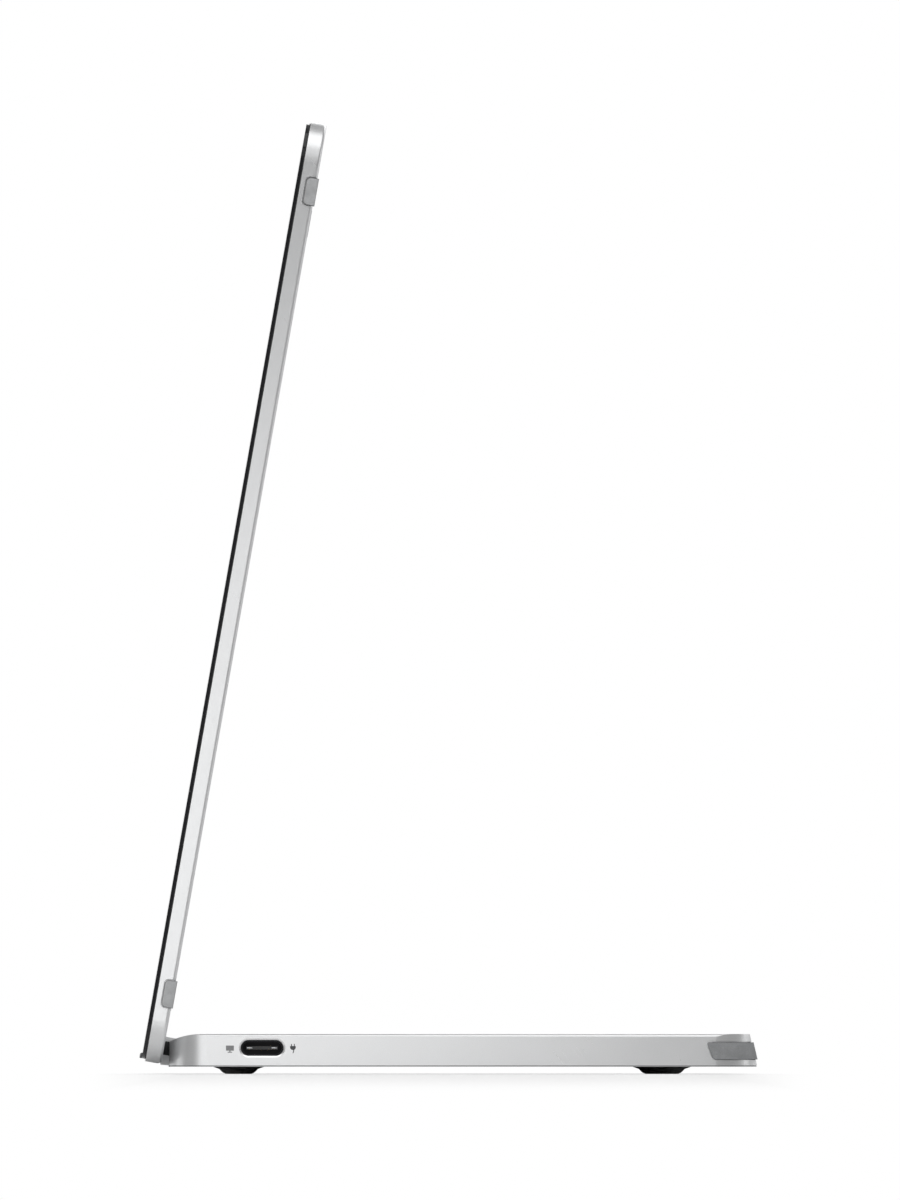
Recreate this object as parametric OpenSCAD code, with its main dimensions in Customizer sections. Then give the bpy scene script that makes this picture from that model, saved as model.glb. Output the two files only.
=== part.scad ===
// Portable monitor: a thin display that folds flat against its own hinged metal base.
// X runs across the screen, Y from the glass towards the rear of the base, and Z up.
// The origin is on the resting surface, in the middle of the object's outline.

/* [Display] */
// Width across the screen
display_w = 322; // [312:1:340]
// Height along the leaning screen
display_h = 204.5; // [198:0.1:216]
// Thickness from the glass to the back face
display_t = 4.35; // [4.2:0.05:4.8]
// Corner radius seen from the front
display_corner_r = 9; // [7:0.5:12]
// Round along the edges of the back face
display_edge_r = 0.8; // [0.5:0.1:1]
// Lean of the screen away from upright, in degrees
display_lean = 10; // [5:1:15]
// How far the display reaches below the hinge axis
display_drop = 3.2; // [3:0.05:3.4]

/* [Display layers] */
// Thickness of the cover glass
glass_t = 0.65; // [0.5:0.05:0.8]
// Distance from the edge of the display to the edge of the glass
glass_inset = 0.5; // [0.3:0.05:0.7]
// Thickness of the adhesive frame behind the glass
adhesive_t = 0.25; // [0.2:0.05:0.35]
// Side wall of the display shell
display_wall = 1.6; // [1.5:0.1:1.8]
// Back wall of the display shell
display_back = 0.8; // [0.7:0.05:0.9]
// Gap from the sides of the display to the liquid crystal cell
cell_side_gap = 3.5; // [3:0.1:5]
// Gap from the upper end of the display to the cell
cell_top_gap = 2.6; // [2.4:0.1:4]
// Gap from the lower end of the display to the cell
cell_bottom_gap = 20.4; // [19.5:0.1:24]
// Thickness of the cell
cell_t = 1; // [0.8:0.05:1.05]

/* [Base] */
// Width of the base
base_w = 320; // [310:1:330]
// Length of the base along its underside
base_len = 126; // [120:1:140]
// Thickness of the base without its feet
base_t = 7; // [6.95:0.05:7.4]
// Plan radius of the corners beside the hinge
base_hinge_corner_r = 8; // [5:0.5:10]
// Plan radius of the rear corners
base_rear_corner_r = 9; // [7:0.5:10]
// Side wall of the base shell
base_wall = 2; // [1.8:0.1:2.2]
// Top wall of the base shell
base_top_wall = 1; // [0.9:0.05:1.1]
// How much further the rear end reaches at the bottom than at the top
rear_slant = 1.7; // [1:0.1:2.2]
// Radius of the crown that lowers the top towards the hinge
crown_r = 15.7; // [14:0.1:18]
// Length of the crown
crown_len = 6.8; // [6:0.1:7]
// Radius of the round along the top edges of the sides
base_edge_r = 0.6; // [0.4:0.05:0.8]
// Thickness of the flange of the bottom cover
cover_flange_t = 0.3; // [0.25:0.05:0.4]
// Thickness of the bottom cover inside the walls
cover_t = 0.8; // [0.7:0.05:0.9]

/* [Feet and rubber] */
// Height of the feet
foot_h = 1.56; // [1.4:0.02:1.8]
// Width of the flange of a foot
foot_flange_w = 10.5; // [9:0.5:13]
// Width of a foot where it leaves its flange
foot_body_w = 8; // [7:0.5:9]
// Width of a foot on the resting surface
foot_tip_w = 6; // [5:0.5:6.5]
// Length of a foot across the base
foot_len = 160; // [120:5:220]
// Distance from the hinge end of the base to the first foot
foot_hinge_inset = 15.2; // [12:0.1:20]
// Distance from the rear end of the base to the second foot
foot_rear_inset = 18.5; // [15:0.1:24]
// Length of a bumper along the side of the display
bumper_len = 6.3; // [5:0.1:8]
// Distance from an end of the display to the middle of a bumper
bumper_inset = 15; // [13:0.5:18]
// How far the bumpers stand out of the back of the display
bumper_proud = 0.35; // [0.25:0.05:0.6]
// Height of a rear corner insert
insert_h = 3.9; // [3:0.1:4.2]
// Length of a rear corner insert along the side of the base
insert_len = 10.4; // [10:0.2:14]
// How far an insert stands out of the base
insert_proud = 0.4; // [0.2:0.05:0.5]

/* [Hinge] */
// Height of the hinge axis above the underside of the base
hinge_rise = 3.02; // [3.02:0.02:3.2]
// Radius of the hinge cover
barrel_r = 3; // [2.9:0.02:3.02]
// Radius of the hinge shafts
shaft_r = 1.25; // [1.1:0.05:1.3]
// Distance from the hinge axis to the hinge end of the base
hinge_to_end = 3.2; // [3.1:0.05:3.8]
// Distance from a side of the base to the cut-out for the hinge
hinge_inset = 36; // [32:1:44]
// Gap between the hinge cover and the base
swing_gap = 0.3; // [0.25:0.05:0.4]
// Gap between the bumpers and the base when it is folded flat
folded_gap = 0.15; // [0.1:0.05:0.3]
// Radial clearance of the shafts in the friction sleeves
shaft_clearance = 0.03; // [0.02:0.01:0.05]

/* [Ports and buttons] */
// Width of a port opening
port_w = 9.3; // [9.2:0.05:9.6]
// Height of a port opening
port_h = 3.5; // [3.45:0.05:3.7]
// Distance from the hinge end of the base to the middle of a port
port_inset = 19.8; // [18:0.2:24]
// Height of the middle of a port above the underside of the base
port_rise = 4.03; // [3.9:0.01:4.07]
// Length of the power button
power_len = 9; // [7:0.5:10]
// Length of a brightness button
bright_len = 7; // [6:0.5:8]
// Height of the buttons
button_h = 2.4; // [2:0.1:2.6]
// Travel of the buttons
button_travel = 0.35; // [0.25:0.05:0.4]

/* [Hidden] */
SIDES = ["left", "right"];
KEYS = ["power", "bright_up", "bright_down"];
$fn = 64;

// Clearance between pieces that seat in one another
seat_gap = 0.05;
// Overlap that keeps cutting shapes clear of coincident faces
cut = 1;

// Heights of the base, its hinge axis and the offset that lets the display fold flat on it
base_top_z = foot_h + base_t;
shell_low_z = foot_h + cover_flange_t;
hinge_z = foot_h + hinge_rise;
port_z = foot_h + port_rise;
back_offset = base_top_z + bumper_proud + folded_gap - hinge_z;

// Lip along the lower end of the glass
lip_proud = 0.4;
lip_h = 1.1;
lip_edge_r = 0.2;

// Insert in the rear corners
insert_z = foot_h + 1.45;
insert_depth = 0.9;

// Depth of the whole object, which centres it on the origin
lip_round_y = back_offset + display_t + lip_proud - lip_edge_r;
lip_round_z = display_drop - glass_inset - lip_edge_r;
front_reach = lip_round_y * cos(display_lean) + lip_round_z * sin(display_lean) + lip_edge_r;
rear_reach = base_len - hinge_to_end + insert_proud - rear_slant * (insert_z - foot_h) / base_t;
hinge_y = (front_reach - rear_reach) / 2;
base_low_y = hinge_y - hinge_to_end;
base_high_y = base_low_y + base_len;
crown_y = base_low_y + crown_len;

// Layers of the display, as distances in front of the hinge axis
shell_depth = display_t - glass_t - adhesive_t;
back_y = -back_offset;
shell_front_y = back_y - shell_depth;
glass_y = back_y - display_t;
glass_back_y = glass_y + glass_t;
wall_front_y = back_y - display_back;
display_top = display_h - display_drop;
film_t = 0.3;
guide_t = 0.5;
reflector_t = 0.2;
frame_w = 2.2;
cell_w = display_w - 2 * cell_side_gap;
cell_low = cell_bottom_gap - display_drop;
cell_high = display_top - cell_top_gap;
cell_corner_r = display_corner_r - display_wall;
cell_back_y = glass_back_y + cell_t;

// Hinge cover, sleeves and the cut-out of the base
notch_half = base_w / 2 - hinge_inset;
cap_flange_t = 0.4;
cover_half = notch_half - swing_gap - cap_flange_t;
barrel_wall = 0.6;
barrel_bore_r = barrel_r - barrel_wall;
channel_low = -1.2;
channel_high = 1.74;
arm_low = -3.38;
arm_high = 2.68;
cap_depth = 4;
sleeve_len = 14;
sleeve_end = cover_half - cap_depth - 1;
sleeve_start = sleeve_end - sleeve_len;
washer_len = 1.5;
nut_len = 2;
shaft_tail = 0.6;
shaft_start = sleeve_start - washer_len - nut_len - shaft_tail;
leaf_t = 0.9;
leaf_w = 26;
leaf_h = 13;
neck_half = 0.6;
cable_r = 0.5;
cable_bore_r = 0.65;

// Hinge brackets in the base
lug_len = 6;
lug_top = hinge_z + 1.95;
lug_low = hinge_z - 2.1;
lug_wall = 0.9;
lug_room = 0.2;
collar_t = 0.6;
lug_x = notch_half + base_wall + 0.6;
shaft_end = lug_x + lug_len;
bracket_t = 1.1;
bracket_w = 24;

// Bosses, boards and connectors
cavity_half = base_w / 2 - base_wall;
port_play = 0.12;
board_t = 1;
board_top_z = port_z - port_h / 2 + port_play;
board_z = board_top_z - board_t;
board_len_y = 30;
port_y = base_low_y + port_inset;
board_low_y = port_y - 8;
port_wall = 0.3;
port_depth = 7.6;
tongue_t = 0.7;
tongue_w = 6.7;
tongue_len = 5.4;

// Buttons, from the power button towards the rear of the base
button_y = [port_y + 20, port_y + 36, port_y + 47];
button_proud = 0.35;
button_gap = 0.12;
flange_t = 0.8;
flange_lip = 0.6;
button_z = port_z;
stem_r = 0.8;
switch_face_x = -cavity_half + 2.2;
switch_size = 3;
button_board_x = switch_face_x + 1.6;
button_board_t = 0.8;

function side_sign(side) = side == "left" ? -1 : 1;
function key_index(key) = search([key], KEYS)[0];
function key_len(key) = key == "power" ? power_len : bright_len;

// Rectangle with round corners, centred on its own origin
module rounded_rect(w, h, r) {
    square([w - 2 * r, h], center = true);
    square([w, h - 2 * r], center = true);
    for (x = [-1, 1]) {
        for (y = [-1, 1]) {
            translate([x * (w / 2 - r), y * (h / 2 - r)]) circle(r);
        }
    }
}

// Profile that cuts a round of radius r along an edge at its own origin
module edge_cut(r) {
    difference() {
        translate([-r, -r]) square(r + cut);
        translate([-r, -r]) circle(r);
    }
}

// Slab with round corners whose upper edges are rounded too
module soft_slab(w, h, corner_r, edge_r, t) {
    difference() {
        linear_extrude(t) rounded_rect(w, h, corner_r);
        for (turn = [0, 180]) {
            rotate(turn) translate([w / 2, h / 2 - corner_r, t]) rotate([90, 0, 0])
                linear_extrude(h - 2 * corner_r) edge_cut(edge_r);
            rotate(turn) translate([corner_r - w / 2, h / 2, t]) rotate([90, 0, 90])
                linear_extrude(w - 2 * corner_r) edge_cut(edge_r);
            for (x = [-1, 1]) {
                rotate(turn) translate([x * (w / 2 - corner_r), h / 2 - corner_r, t])
                    rotate(x > 0 ? 0 : 90) rotate_extrude(angle = 90)
                        translate([corner_r, 0]) edge_cut(edge_r);
            }
        }
    }
}

// Places children in the leaning frame of the display, whose origin is on the hinge axis
module on_display() {
    translate([0, hinge_y, hinge_z]) rotate([-display_lean, 0, 0]) children();
}

// Stands a plan shape up in the plane of the screen, from front_y backwards
module layer(front_y, t) {
    translate([0, front_y + t, 0]) rotate([90, 0, 0]) linear_extrude(t) children();
}

// Moves a plan shape to the middle of the display
module at_display_middle() {
    translate([0, display_h / 2 - display_drop]) children();
}

// Extrudes a side profile, drawn as Y and Z, across the object
module across(low_x, high_x) {
    translate([low_x, 0, 0]) rotate([90, 0, 90]) linear_extrude(high_x - low_x) children();
}

// Pill shape with flat sides, lying along its own X
module pill(len, h) {
    square([len - h, h], center = true);
    for (x = [-1, 1]) {
        translate([x * (len - h) / 2, 0]) circle(h / 2);
    }
}

// ---------- display ----------

module bumper_side(side, z) {
    color([0.45, 0.46, 0.47]) on_display() bumper_solid(side, z);
}

// Rubber block that wraps round the back edge, with round corners seen from the side and the back
module bumper_solid(side, z) {
    s = side_sign(side);
    front = glass_y + 1.9;
    depth = back_y + bumper_proud - front;
    corner_r = 1;
    pad_w = 6;
    pad_seat = 0.4;
    side_seat = 1.1;
    outer = display_w / 2 + 0.45;
    inner = outer - pad_w;
    difference() {
        translate([0, front + depth / 2, z]) across_side(s, inner, outer)
            rounded_rect(depth, bumper_len, corner_r);
        translate([0, 0, z]) across_side(s, inner - cut, display_w / 2 - side_seat)
            translate([front - cut, -bumper_len])
                square([back_y - pad_seat - front + cut, 2 * bumper_len]);
        for (end = [-1, 1]) {
            translate([s * inner, back_y, z + end * bumper_len / 2]) rotate([90, 0, 0])
                translate([s * corner_r, -end * corner_r, -2]) linear_extrude(4) difference() {
                    translate([s > 0 ? -corner_r - cut : 0, end > 0 ? 0 : -corner_r - cut])
                        square(corner_r + cut);
                    circle(corner_r);
                }
        }
    }
}

function bumper_low() = bumper_inset - display_drop;
function bumper_high() = display_top - bumper_inset;

module display_shell() {
    color([0.8, 0.81, 0.82]) on_display() difference() {
        translate([0, shell_front_y, display_h / 2 - display_drop]) rotate([-90, 0, 0])
            soft_slab(display_w, display_h, display_corner_r, display_edge_r, shell_depth);
        layer(shell_front_y - cut, shell_depth - display_back + cut) at_display_middle()
            rounded_rect(display_w - 2 * display_wall, display_h - 2 * display_wall,
                display_corner_r - display_wall);
        for (side = SIDES) {
            bumper_solid(side, bumper_low());
            bumper_solid(side, bumper_high());
            leaf_window(side);
        }
        for (side = SIDES) {
            at_leaf_screws(side) layer(wall_front_y - cut, leaf_screw_seat + cut)
                circle(leaf_screw_r);
        }
        translate([-cable_exit_x(), 0, 0]) layer(wall_front_y - cut, display_back + 2 * cut)
            circle(cable_r + 0.4);
    }
}

// Slot where the neck of a hinge leaf enters the display
module leaf_window(side) {
    s = side_sign(side);
    translate([s * (sleeve_start + sleeve_end) / 2, 0, 0])
        layer(wall_front_y - cut, display_back + 2 * cut)
            square([sleeve_len + 0.4, 2 * neck_half + 0.4], center = true);
}

module glass_outline(inset) {
    at_display_middle() rounded_rect(display_w - 2 * inset, display_h - 2 * inset,
        display_corner_r - inset);
}

module glass_adhesive() {
    color([0.06, 0.06, 0.07]) on_display() layer(glass_back_y, adhesive_t) difference() {
        glass_outline(glass_inset);
        glass_outline(display_wall);
    }
}

module cover_glass() {
    color([0.08, 0.09, 0.1, 0.6]) on_display() layer(glass_y, glass_t) glass_outline(glass_inset);
}

// Outline of the cell with round upper corners, drawn in by inset on each side
module cell_outline(inset) {
    half = cell_w / 2 - inset;
    r = cell_corner_r - inset;
    round_z = cell_high - inset - r;
    translate([-half, cell_low + inset]) square([2 * half, round_z - cell_low - inset]);
    translate([r - half, round_z - cut]) square([2 * (half - r), r + cut]);
    for (x = [-1, 1]) {
        translate([x * (half - r), round_z]) circle(r);
    }
}

module lcd_cell() {
    color([0.12, 0.13, 0.16]) on_display() layer(glass_back_y, cell_t) cell_outline(0);
}

module film_stack() {
    color([0.9, 0.92, 0.95]) on_display() layer(cell_back_y, film_t) cell_outline(frame_w);
}

module light_guide() {
    color([0.85, 0.9, 0.95]) on_display() layer(cell_back_y + film_t, guide_t) difference() {
        cell_outline(frame_w);
        translate([0, cell_low + frame_w]) square([cell_w, 2 * led_h], center = true);
    }
}

module reflector() {
    color([0.95, 0.95, 0.96]) on_display()
        layer(cell_back_y + film_t + guide_t, reflector_t) cell_outline(frame_w);
}

// Height of the strip of light-emitting diodes along the lower edge of the light guide
led_h = 1.2;

module led_strip() {
    color([0.95, 0.9, 0.6]) on_display() layer(cell_back_y + film_t, guide_t)
        translate([-cell_w / 2 + frame_w, cell_low + frame_w])
            square([cell_w - 2 * frame_w, led_h]);
}

module panel_frame() {
    color([0.2, 0.2, 0.21]) on_display() layer(cell_back_y, wall_front_y - cell_back_y)
        difference() {
            cell_outline(0);
            cell_outline(frame_w);
        }
}

driver_w = 2 * (cable_exit_x() - 1);
driver_h = 10;
driver_low = 5.5;
driver_t = 0.8;
driver_back_y = wall_front_y - 0.2;

module driver_board() {
    color([0.05, 0.25, 0.12]) on_display() {
        layer(driver_back_y - driver_t, driver_t)
            translate([-driver_w / 2, driver_low]) square([driver_w, driver_h]);
        for (x = [-1, 1]) {
            translate([x * (driver_w / 2 - 4), 0, 0]) layer(driver_back_y, 0.2)
                translate([0, driver_low + driver_h / 2]) circle(2);
        }
    }
}

driver_chip_t = 0.6;
driver_chip_w = 9;
driver_chip_h = 6;

module driver_chips() {
    socket_w = 8;
    socket_h = 5;
    color([0.1, 0.1, 0.11]) on_display() layer(driver_back_y - driver_t - driver_chip_t,
        driver_chip_t) {
        for (x = [-0.3, -0.1, 0.1, 0.3]) {
            translate([x * driver_w, driver_low + driver_h / 2])
                square([driver_chip_w, driver_chip_h], center = true);
        }
        translate([cable_r - cable_exit_x(), driver_low + driver_h / 2 - socket_h / 2])
            square([socket_w, socket_h]);
    }
}

module front_lip() {
    lip_w = display_w - 2 * (display_corner_r + 1);
    color([0.5, 0.51, 0.52]) on_display()
        translate([0, glass_y, glass_inset - display_drop]) across(-lip_w / 2, lip_w / 2) {
            translate([-lip_proud, lip_edge_r]) square([lip_proud, lip_h - 2 * lip_edge_r]);
            translate([lip_edge_r - lip_proud, 0]) square([lip_proud - lip_edge_r, lip_h]);
            for (z = [lip_edge_r, lip_h - lip_edge_r]) {
                translate([lip_edge_r - lip_proud, z]) circle(lip_edge_r);
            }
        }
}

// ---------- hinge ----------

// Outline of the hinge cover round the axis, with its arm towards the display
module cover_outline() {
    circle(barrel_r);
    polygon([[back_y, arm_low], [0, -barrel_r], [0, arm_high], [back_y, arm_high]]);
}

// Hollow of the hinge cover, drawn in by gap
module cover_hollow(gap) {
    circle(barrel_bore_r - gap);
    translate([back_y + gap, channel_low + gap])
        square([back_offset, channel_high - channel_low - 2 * gap]);
}

module hinge_cover() {
    color([0.78, 0.79, 0.8]) on_display() across(-cover_half, cover_half) difference() {
        cover_outline();
        cover_hollow(0);
        translate([back_y - cut, channel_low]) square([2 * cut, channel_high - channel_low]);
    }
}

// Dark end piece that carries the shaft where it enters the hinge cover
module hinge_cap(side) {
    s = side_sign(side);
    face_reach = 2;
    face_seat = 0.1;
    color([0.1, 0.1, 0.11]) on_display() difference() {
        union() {
            across_side(s, cover_half - cap_depth, cover_half) cover_hollow(seat_gap);
            across_side(s, cover_half, cover_half + cap_flange_t)
                translate([back_y + face_seat, channel_low])
                    square([back_offset - face_seat + face_reach, channel_high - channel_low]);
        }
        across_side(s, cover_half - cap_depth - cut, cover_half + cap_flange_t + cut)
            circle(shaft_r + shaft_clearance);
    }
}

// Extrudes a side profile between two distances from the middle, on the given side
module across_side(s, inner, outer) {
    across(s > 0 ? inner : -outer, s > 0 ? outer : -inner) children();
}

// Friction sleeve with the plate that holds it to the display
module hinge_leaf(side) {
    s = side_sign(side);
    middle = (sleeve_start + sleeve_end) / 2;
    color([0.55, 0.56, 0.58]) on_display() difference() {
        union() {
            across_side(s, sleeve_start, sleeve_end) {
                circle(barrel_bore_r - seat_gap);
                translate([wall_front_y - leaf_t, -neck_half])
                    square([-wall_front_y + leaf_t, 2 * neck_half]);
            }
            translate([s * middle, 0, 0]) layer(wall_front_y - leaf_t, leaf_t)
                translate([0, leaf_h / 2 - neck_half]) rounded_rect(leaf_w, leaf_h, 1.5);
        }
        across_side(s, sleeve_start - cut, sleeve_end + cut) circle(shaft_r + shaft_clearance);
        at_leaf_screws(side) layer(wall_front_y - leaf_t - cut, leaf_t + 2 * cut)
            circle(leaf_screw_r + seat_gap);
    }
}

leaf_screw_r = 0.75;
leaf_screw_seat = 0.5;

// Puts children at the two screws of a hinge leaf
module at_leaf_screws(side) {
    middle = side_sign(side) * (sleeve_start + sleeve_end) / 2;
    for (x = [-1, 1]) {
        translate([middle + x * (leaf_w / 2 - 4), 0, leaf_h - 5]) children();
    }
}

// Screws that hold a hinge leaf to the back wall of the display
module leaf_screws(side) {
    head_r = 1.4;
    head_t = 0.35;
    leaf_front_y = wall_front_y - leaf_t;
    color([0.35, 0.35, 0.37]) on_display() at_leaf_screws(side) {
        layer(leaf_front_y - head_t, head_t) difference() {
            circle(head_r);
            circle(0.6, $fn = 6);
        }
        layer(leaf_front_y, leaf_t + leaf_screw_seat) circle(leaf_screw_r);
    }
}

// Ring round the hinge axis
module axis_ring(side, inner, outer, r, bore) {
    across_side(side_sign(side), inner, outer) difference() {
        circle(r);
        circle(bore);
    }
}

module hinge_shaft(side) {
    bore = side == "left" ? cable_bore_r : 0;
    collar_r = 1.9;
    color([0.7, 0.71, 0.73]) on_display() {
        across_side(side_sign(side), shaft_start, shaft_end) difference() {
            circle(shaft_r);
            if (bore > 0) circle(bore);
        }
        axis_ring(side, shaft_end, shaft_end + collar_t, collar_r, bore);
    }
}

module friction_washers(side) {
    step = washer_len / 3;
    inner = sleeve_start - washer_len;
    color([0.5, 0.5, 0.52]) on_display() {
        for (i = [0 : 2]) {
            axis_ring(side, inner + i * step, inner + (i + 1) * step - (i == 2 ? seat_gap : 0),
                i == 1 ? 1.9 : 2.2, shaft_r);
        }
    }
}

module shaft_nut(side) {
    outer = sleeve_start - washer_len;
    color([0.6, 0.6, 0.62]) on_display() across_side(side_sign(side), outer - nut_len, outer)
        difference() {
            circle(2.2, $fn = 6);
            circle(shaft_r);
        }
}

// Steel bracket in the base that holds a shaft beside the cut-out
module hinge_bracket(side) {
    s = side_sign(side);
    lug_front = base_low_y + lug_wall + 0.1;
    color([0.58, 0.59, 0.6]) difference() {
        union() {
            across_side(s, lug_x, lug_x + lug_len) polygon([
                [lug_front, lug_low],
                [plate_low_y + 1, lug_low],
                [plate_low_y + 1, plate_top],
                [crown_y, plate_top],
                [hinge_y + shaft_r, lug_top],
                [lug_front, lug_top]
            ]);
            translate([s * (lug_x + bracket_w / 2), (plate_low_y + plate_high_y) / 2,
                plate_top - bracket_t]) linear_extrude(bracket_t)
                    rounded_rect(bracket_w, plate_high_y - plate_low_y, 1.5);
        }
        translate([0, hinge_y, hinge_z]) across_side(s, lug_x - cut, lug_x + lug_len + cut)
            circle(shaft_r);
        at_bracket_screws(side) translate([0, 0, -cut])
            cylinder(r = bracket_screw_r + seat_gap, h = bracket_t + 2 * cut);
    }
}

plate_low_y = hinge_y + 4.5;
plate_high_y = plate_low_y + 15;
plate_top = base_top_z - base_top_wall;
bracket_screw_r = 0.85;
bracket_screw_seat = 0.6;

// Puts children at the two screws of a hinge bracket, on the underside of its plate
module at_bracket_screws(side) {
    for (x = [6, bracket_w - 5]) {
        translate([side_sign(side) * (lug_x + x), plate_high_y - 4, plate_top - bracket_t])
            children();
    }
}

// Screws that hold a hinge bracket to the top wall of the base
module bracket_screws(side) {
    head_r = 1.6;
    head_t = 0.5;
    color([0.35, 0.35, 0.37]) at_bracket_screws(side) difference() {
        union() {
            translate([0, 0, -head_t]) cylinder(r = head_r, h = head_t);
            cylinder(r = bracket_screw_r, h = bracket_t + bracket_screw_seat);
        }
        translate([0, 0, -head_t - cut]) cylinder(r = 0.7, h = cut + 0.3, $fn = 6);
    }
}

// ---------- cable ----------

function cable_exit_x() = shaft_start - 6;
bend_r = 1.2;

// Bundle that runs inside the hollow left shaft and up to the driver board
module display_cable() {
    start = shaft_end + collar_t - seat_gap;
    exit = cable_exit_x();
    run_y = wall_front_y - 0.95;
    rise = driver_low + driver_h / 2 + 1;
    color([0.08, 0.08, 0.09]) on_display() {
        across(-start, -exit - bend_r) circle(cable_r);
        translate([-exit - bend_r, -bend_r, 0]) rotate_extrude(angle = 90)
            translate([bend_r, 0]) circle(cable_r);
        translate([-exit, -bend_r, 0]) rotate([90, 0, 0])
            cylinder(r = cable_r, h = -run_y - 2 * bend_r);
        translate([-exit, run_y + bend_r, bend_r]) rotate([0, 90, 0]) rotate([0, 0, -90])
            rotate_extrude(angle = 90) translate([bend_r, 0]) circle(cable_r);
        translate([-exit, run_y, bend_r]) cylinder(r = cable_r, h = rise - bend_r);
    }
}

// Bundle from the hollow shaft to the main board
module base_cable() {
    start = shaft_end + collar_t;
    turn_x = start + 2.5;
    sweep_r = 2;
    plug_y = board_low_y + 3;
    plug_w = 6;
    color([0.08, 0.08, 0.09]) translate([0, hinge_y, hinge_z]) {
        across(-turn_x, -start) circle(cable_r);
        translate([-turn_x, sweep_r, 0]) rotate([0, 0, 180]) rotate_extrude(angle = 90)
            translate([sweep_r, 0]) circle(cable_r);
        translate([-turn_x - sweep_r, sweep_r, 0]) rotate([-90, 0, 0])
            cylinder(r = cable_r, h = plug_y - hinge_y - sweep_r);
    }
    color([0.85, 0.85, 0.82])
        translate([-turn_x - sweep_r - plug_w / 2, plug_y, board_top_z])
            cube([plug_w, 4, hinge_z + 0.9 - board_top_z]);
}

// ---------- base ----------

// Plan outline of the base, drawn in by inset all round
module base_plan(inset) {
    half = base_w / 2 - inset;
    low = base_low_y + inset;
    high = base_high_y - inset;
    r_low = base_hinge_corner_r - inset;
    r_high = base_rear_corner_r - inset;
    notch = notch_half + inset;
    difference() {
        union() {
            translate([-half, low + r_low]) square([2 * half, high - r_high - low - r_low]);
            translate([r_low - half, low]) square([2 * (half - r_low), r_low + cut]);
            translate([r_high - half, high - r_high - cut])
                square([2 * (half - r_high), r_high + cut]);
            for (x = [-1, 1]) {
                translate([x * (half - r_low), low + r_low]) circle(r_low);
                translate([x * (half - r_high), high - r_high]) circle(r_high);
            }
        }
        translate([-notch, base_low_y - cut])
            square([2 * notch, hinge_y + barrel_r + swing_gap + inset - base_low_y + cut]);
    }
}

// Side profile of the base, drawn as Y and Z, with its ends and top drawn in
module base_profile(low_z, end_inset, top_inset) {
    top = base_top_z - top_inset;
    rear_top = base_high_y - end_inset - rear_slant * (1 - top_inset / base_t);
    rear_low = rear_top + rear_slant * (top - low_z) / base_t;
    r = crown_r - top_inset;
    polygon([[crown_y, low_z], [rear_low, low_z], [rear_top, top], [crown_y, top]]);
    intersection() {
        translate([base_low_y + end_inset, low_z])
            square([crown_y - base_low_y - end_inset, top - low_z]);
        translate([crown_y, base_top_z - crown_r]) circle(r, $fn = 180);
    }
}

// Profile seen from the rear, which rounds the top edges of the sides
module base_front_profile(low_z) {
    half = base_w / 2;
    translate([-half, low_z]) square([2 * half, base_top_z - base_edge_r - low_z]);
    translate([base_edge_r - half, low_z]) square([2 * (half - base_edge_r), base_top_z - low_z]);
    for (x = [-1, 1]) {
        translate([x * (half - base_edge_r), base_top_z - base_edge_r]) circle(base_edge_r);
    }
}

// Solid between two heights that has the outline of the base, drawn in by inset
module base_block(low_z, top_inset, inset) {
    intersection() {
        translate([0, 0, low_z]) linear_extrude(base_top_z - low_z) base_plan(inset);
        across(-base_w / 2, base_w / 2) base_profile(low_z, inset, top_inset);
        translate([0, base_high_y, 0]) rotate([90, 0, 0]) linear_extrude(base_len)
            base_front_profile(low_z);
    }
}

module port_opening(side) {
    s = side_sign(side);
    translate([0, port_y, port_z]) {
        across_side(s, cavity_half - cut, base_w / 2 + cut) pill(port_w, port_h);
        across_side(s, base_w / 2 - 0.2, base_w / 2 + cut) pill(port_w + 0.6, port_h + 0.6);
    }
}

module button_opening(key) {
    translate([0, button_y[key_index(key)], button_z])
        across_side(-1, cavity_half - cut, base_w / 2 + cut)
            pill(key_len(key) + 2 * button_gap, button_h + 2 * button_gap);
}

// Pocket in the hinge end of the shell for the lug of a bracket
module lug_pocket(side) {
    across_side(side_sign(side), notch_half + base_wall - 0.3, shaft_end + collar_t + lug_room)
        translate([base_low_y + lug_wall, lug_low - lug_room])
            square([base_wall + cut, lug_top - lug_low + 2 * lug_room]);
}

module base_shell() {
    color([0.8, 0.81, 0.82]) difference() {
        base_block(shell_low_z, 0, 0);
        difference() {
            base_block(shell_low_z - cut, base_top_wall, base_wall);
            shell_ribs();
        }
        for (side = SIDES) {
            port_opening(side);
            lug_pocket(side);
            rear_insert_solid(side);
            at_bracket_screws(side) cylinder(r = bracket_screw_r, h = bracket_t + bracket_screw_seat);
            translate([0, hinge_y, hinge_z])
                across_side(side_sign(side), notch_half - cut, notch_half + base_wall + cut)
                    circle(shaft_r + 0.1);
        }
        for (key = KEYS) {
            button_opening(key);
        }
        for (x = [-1, 1]) {
            for (y = [screw_hinge_y, screw_rear_y]) {
                translate([x * screw_x, y, shell_low_z - 2 * cut])
                    cylinder(r = screw_r, h = screw_len + 2 * cut);
            }
        }
    }
}

// Ribs and screw posts inside the shell, down to the bottom cover
screw_side_inset = 40;
screw_x = base_w / 2 - screw_side_inset;
screw_hinge_y = base_low_y + 46;
screw_rear_y = base_high_y - 12;
screw_r = 0.8;
screw_len = 3.4;
post_r = 2.6;
rib_t = 1.2;
rib_low_z = foot_h + cover_t;

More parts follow.
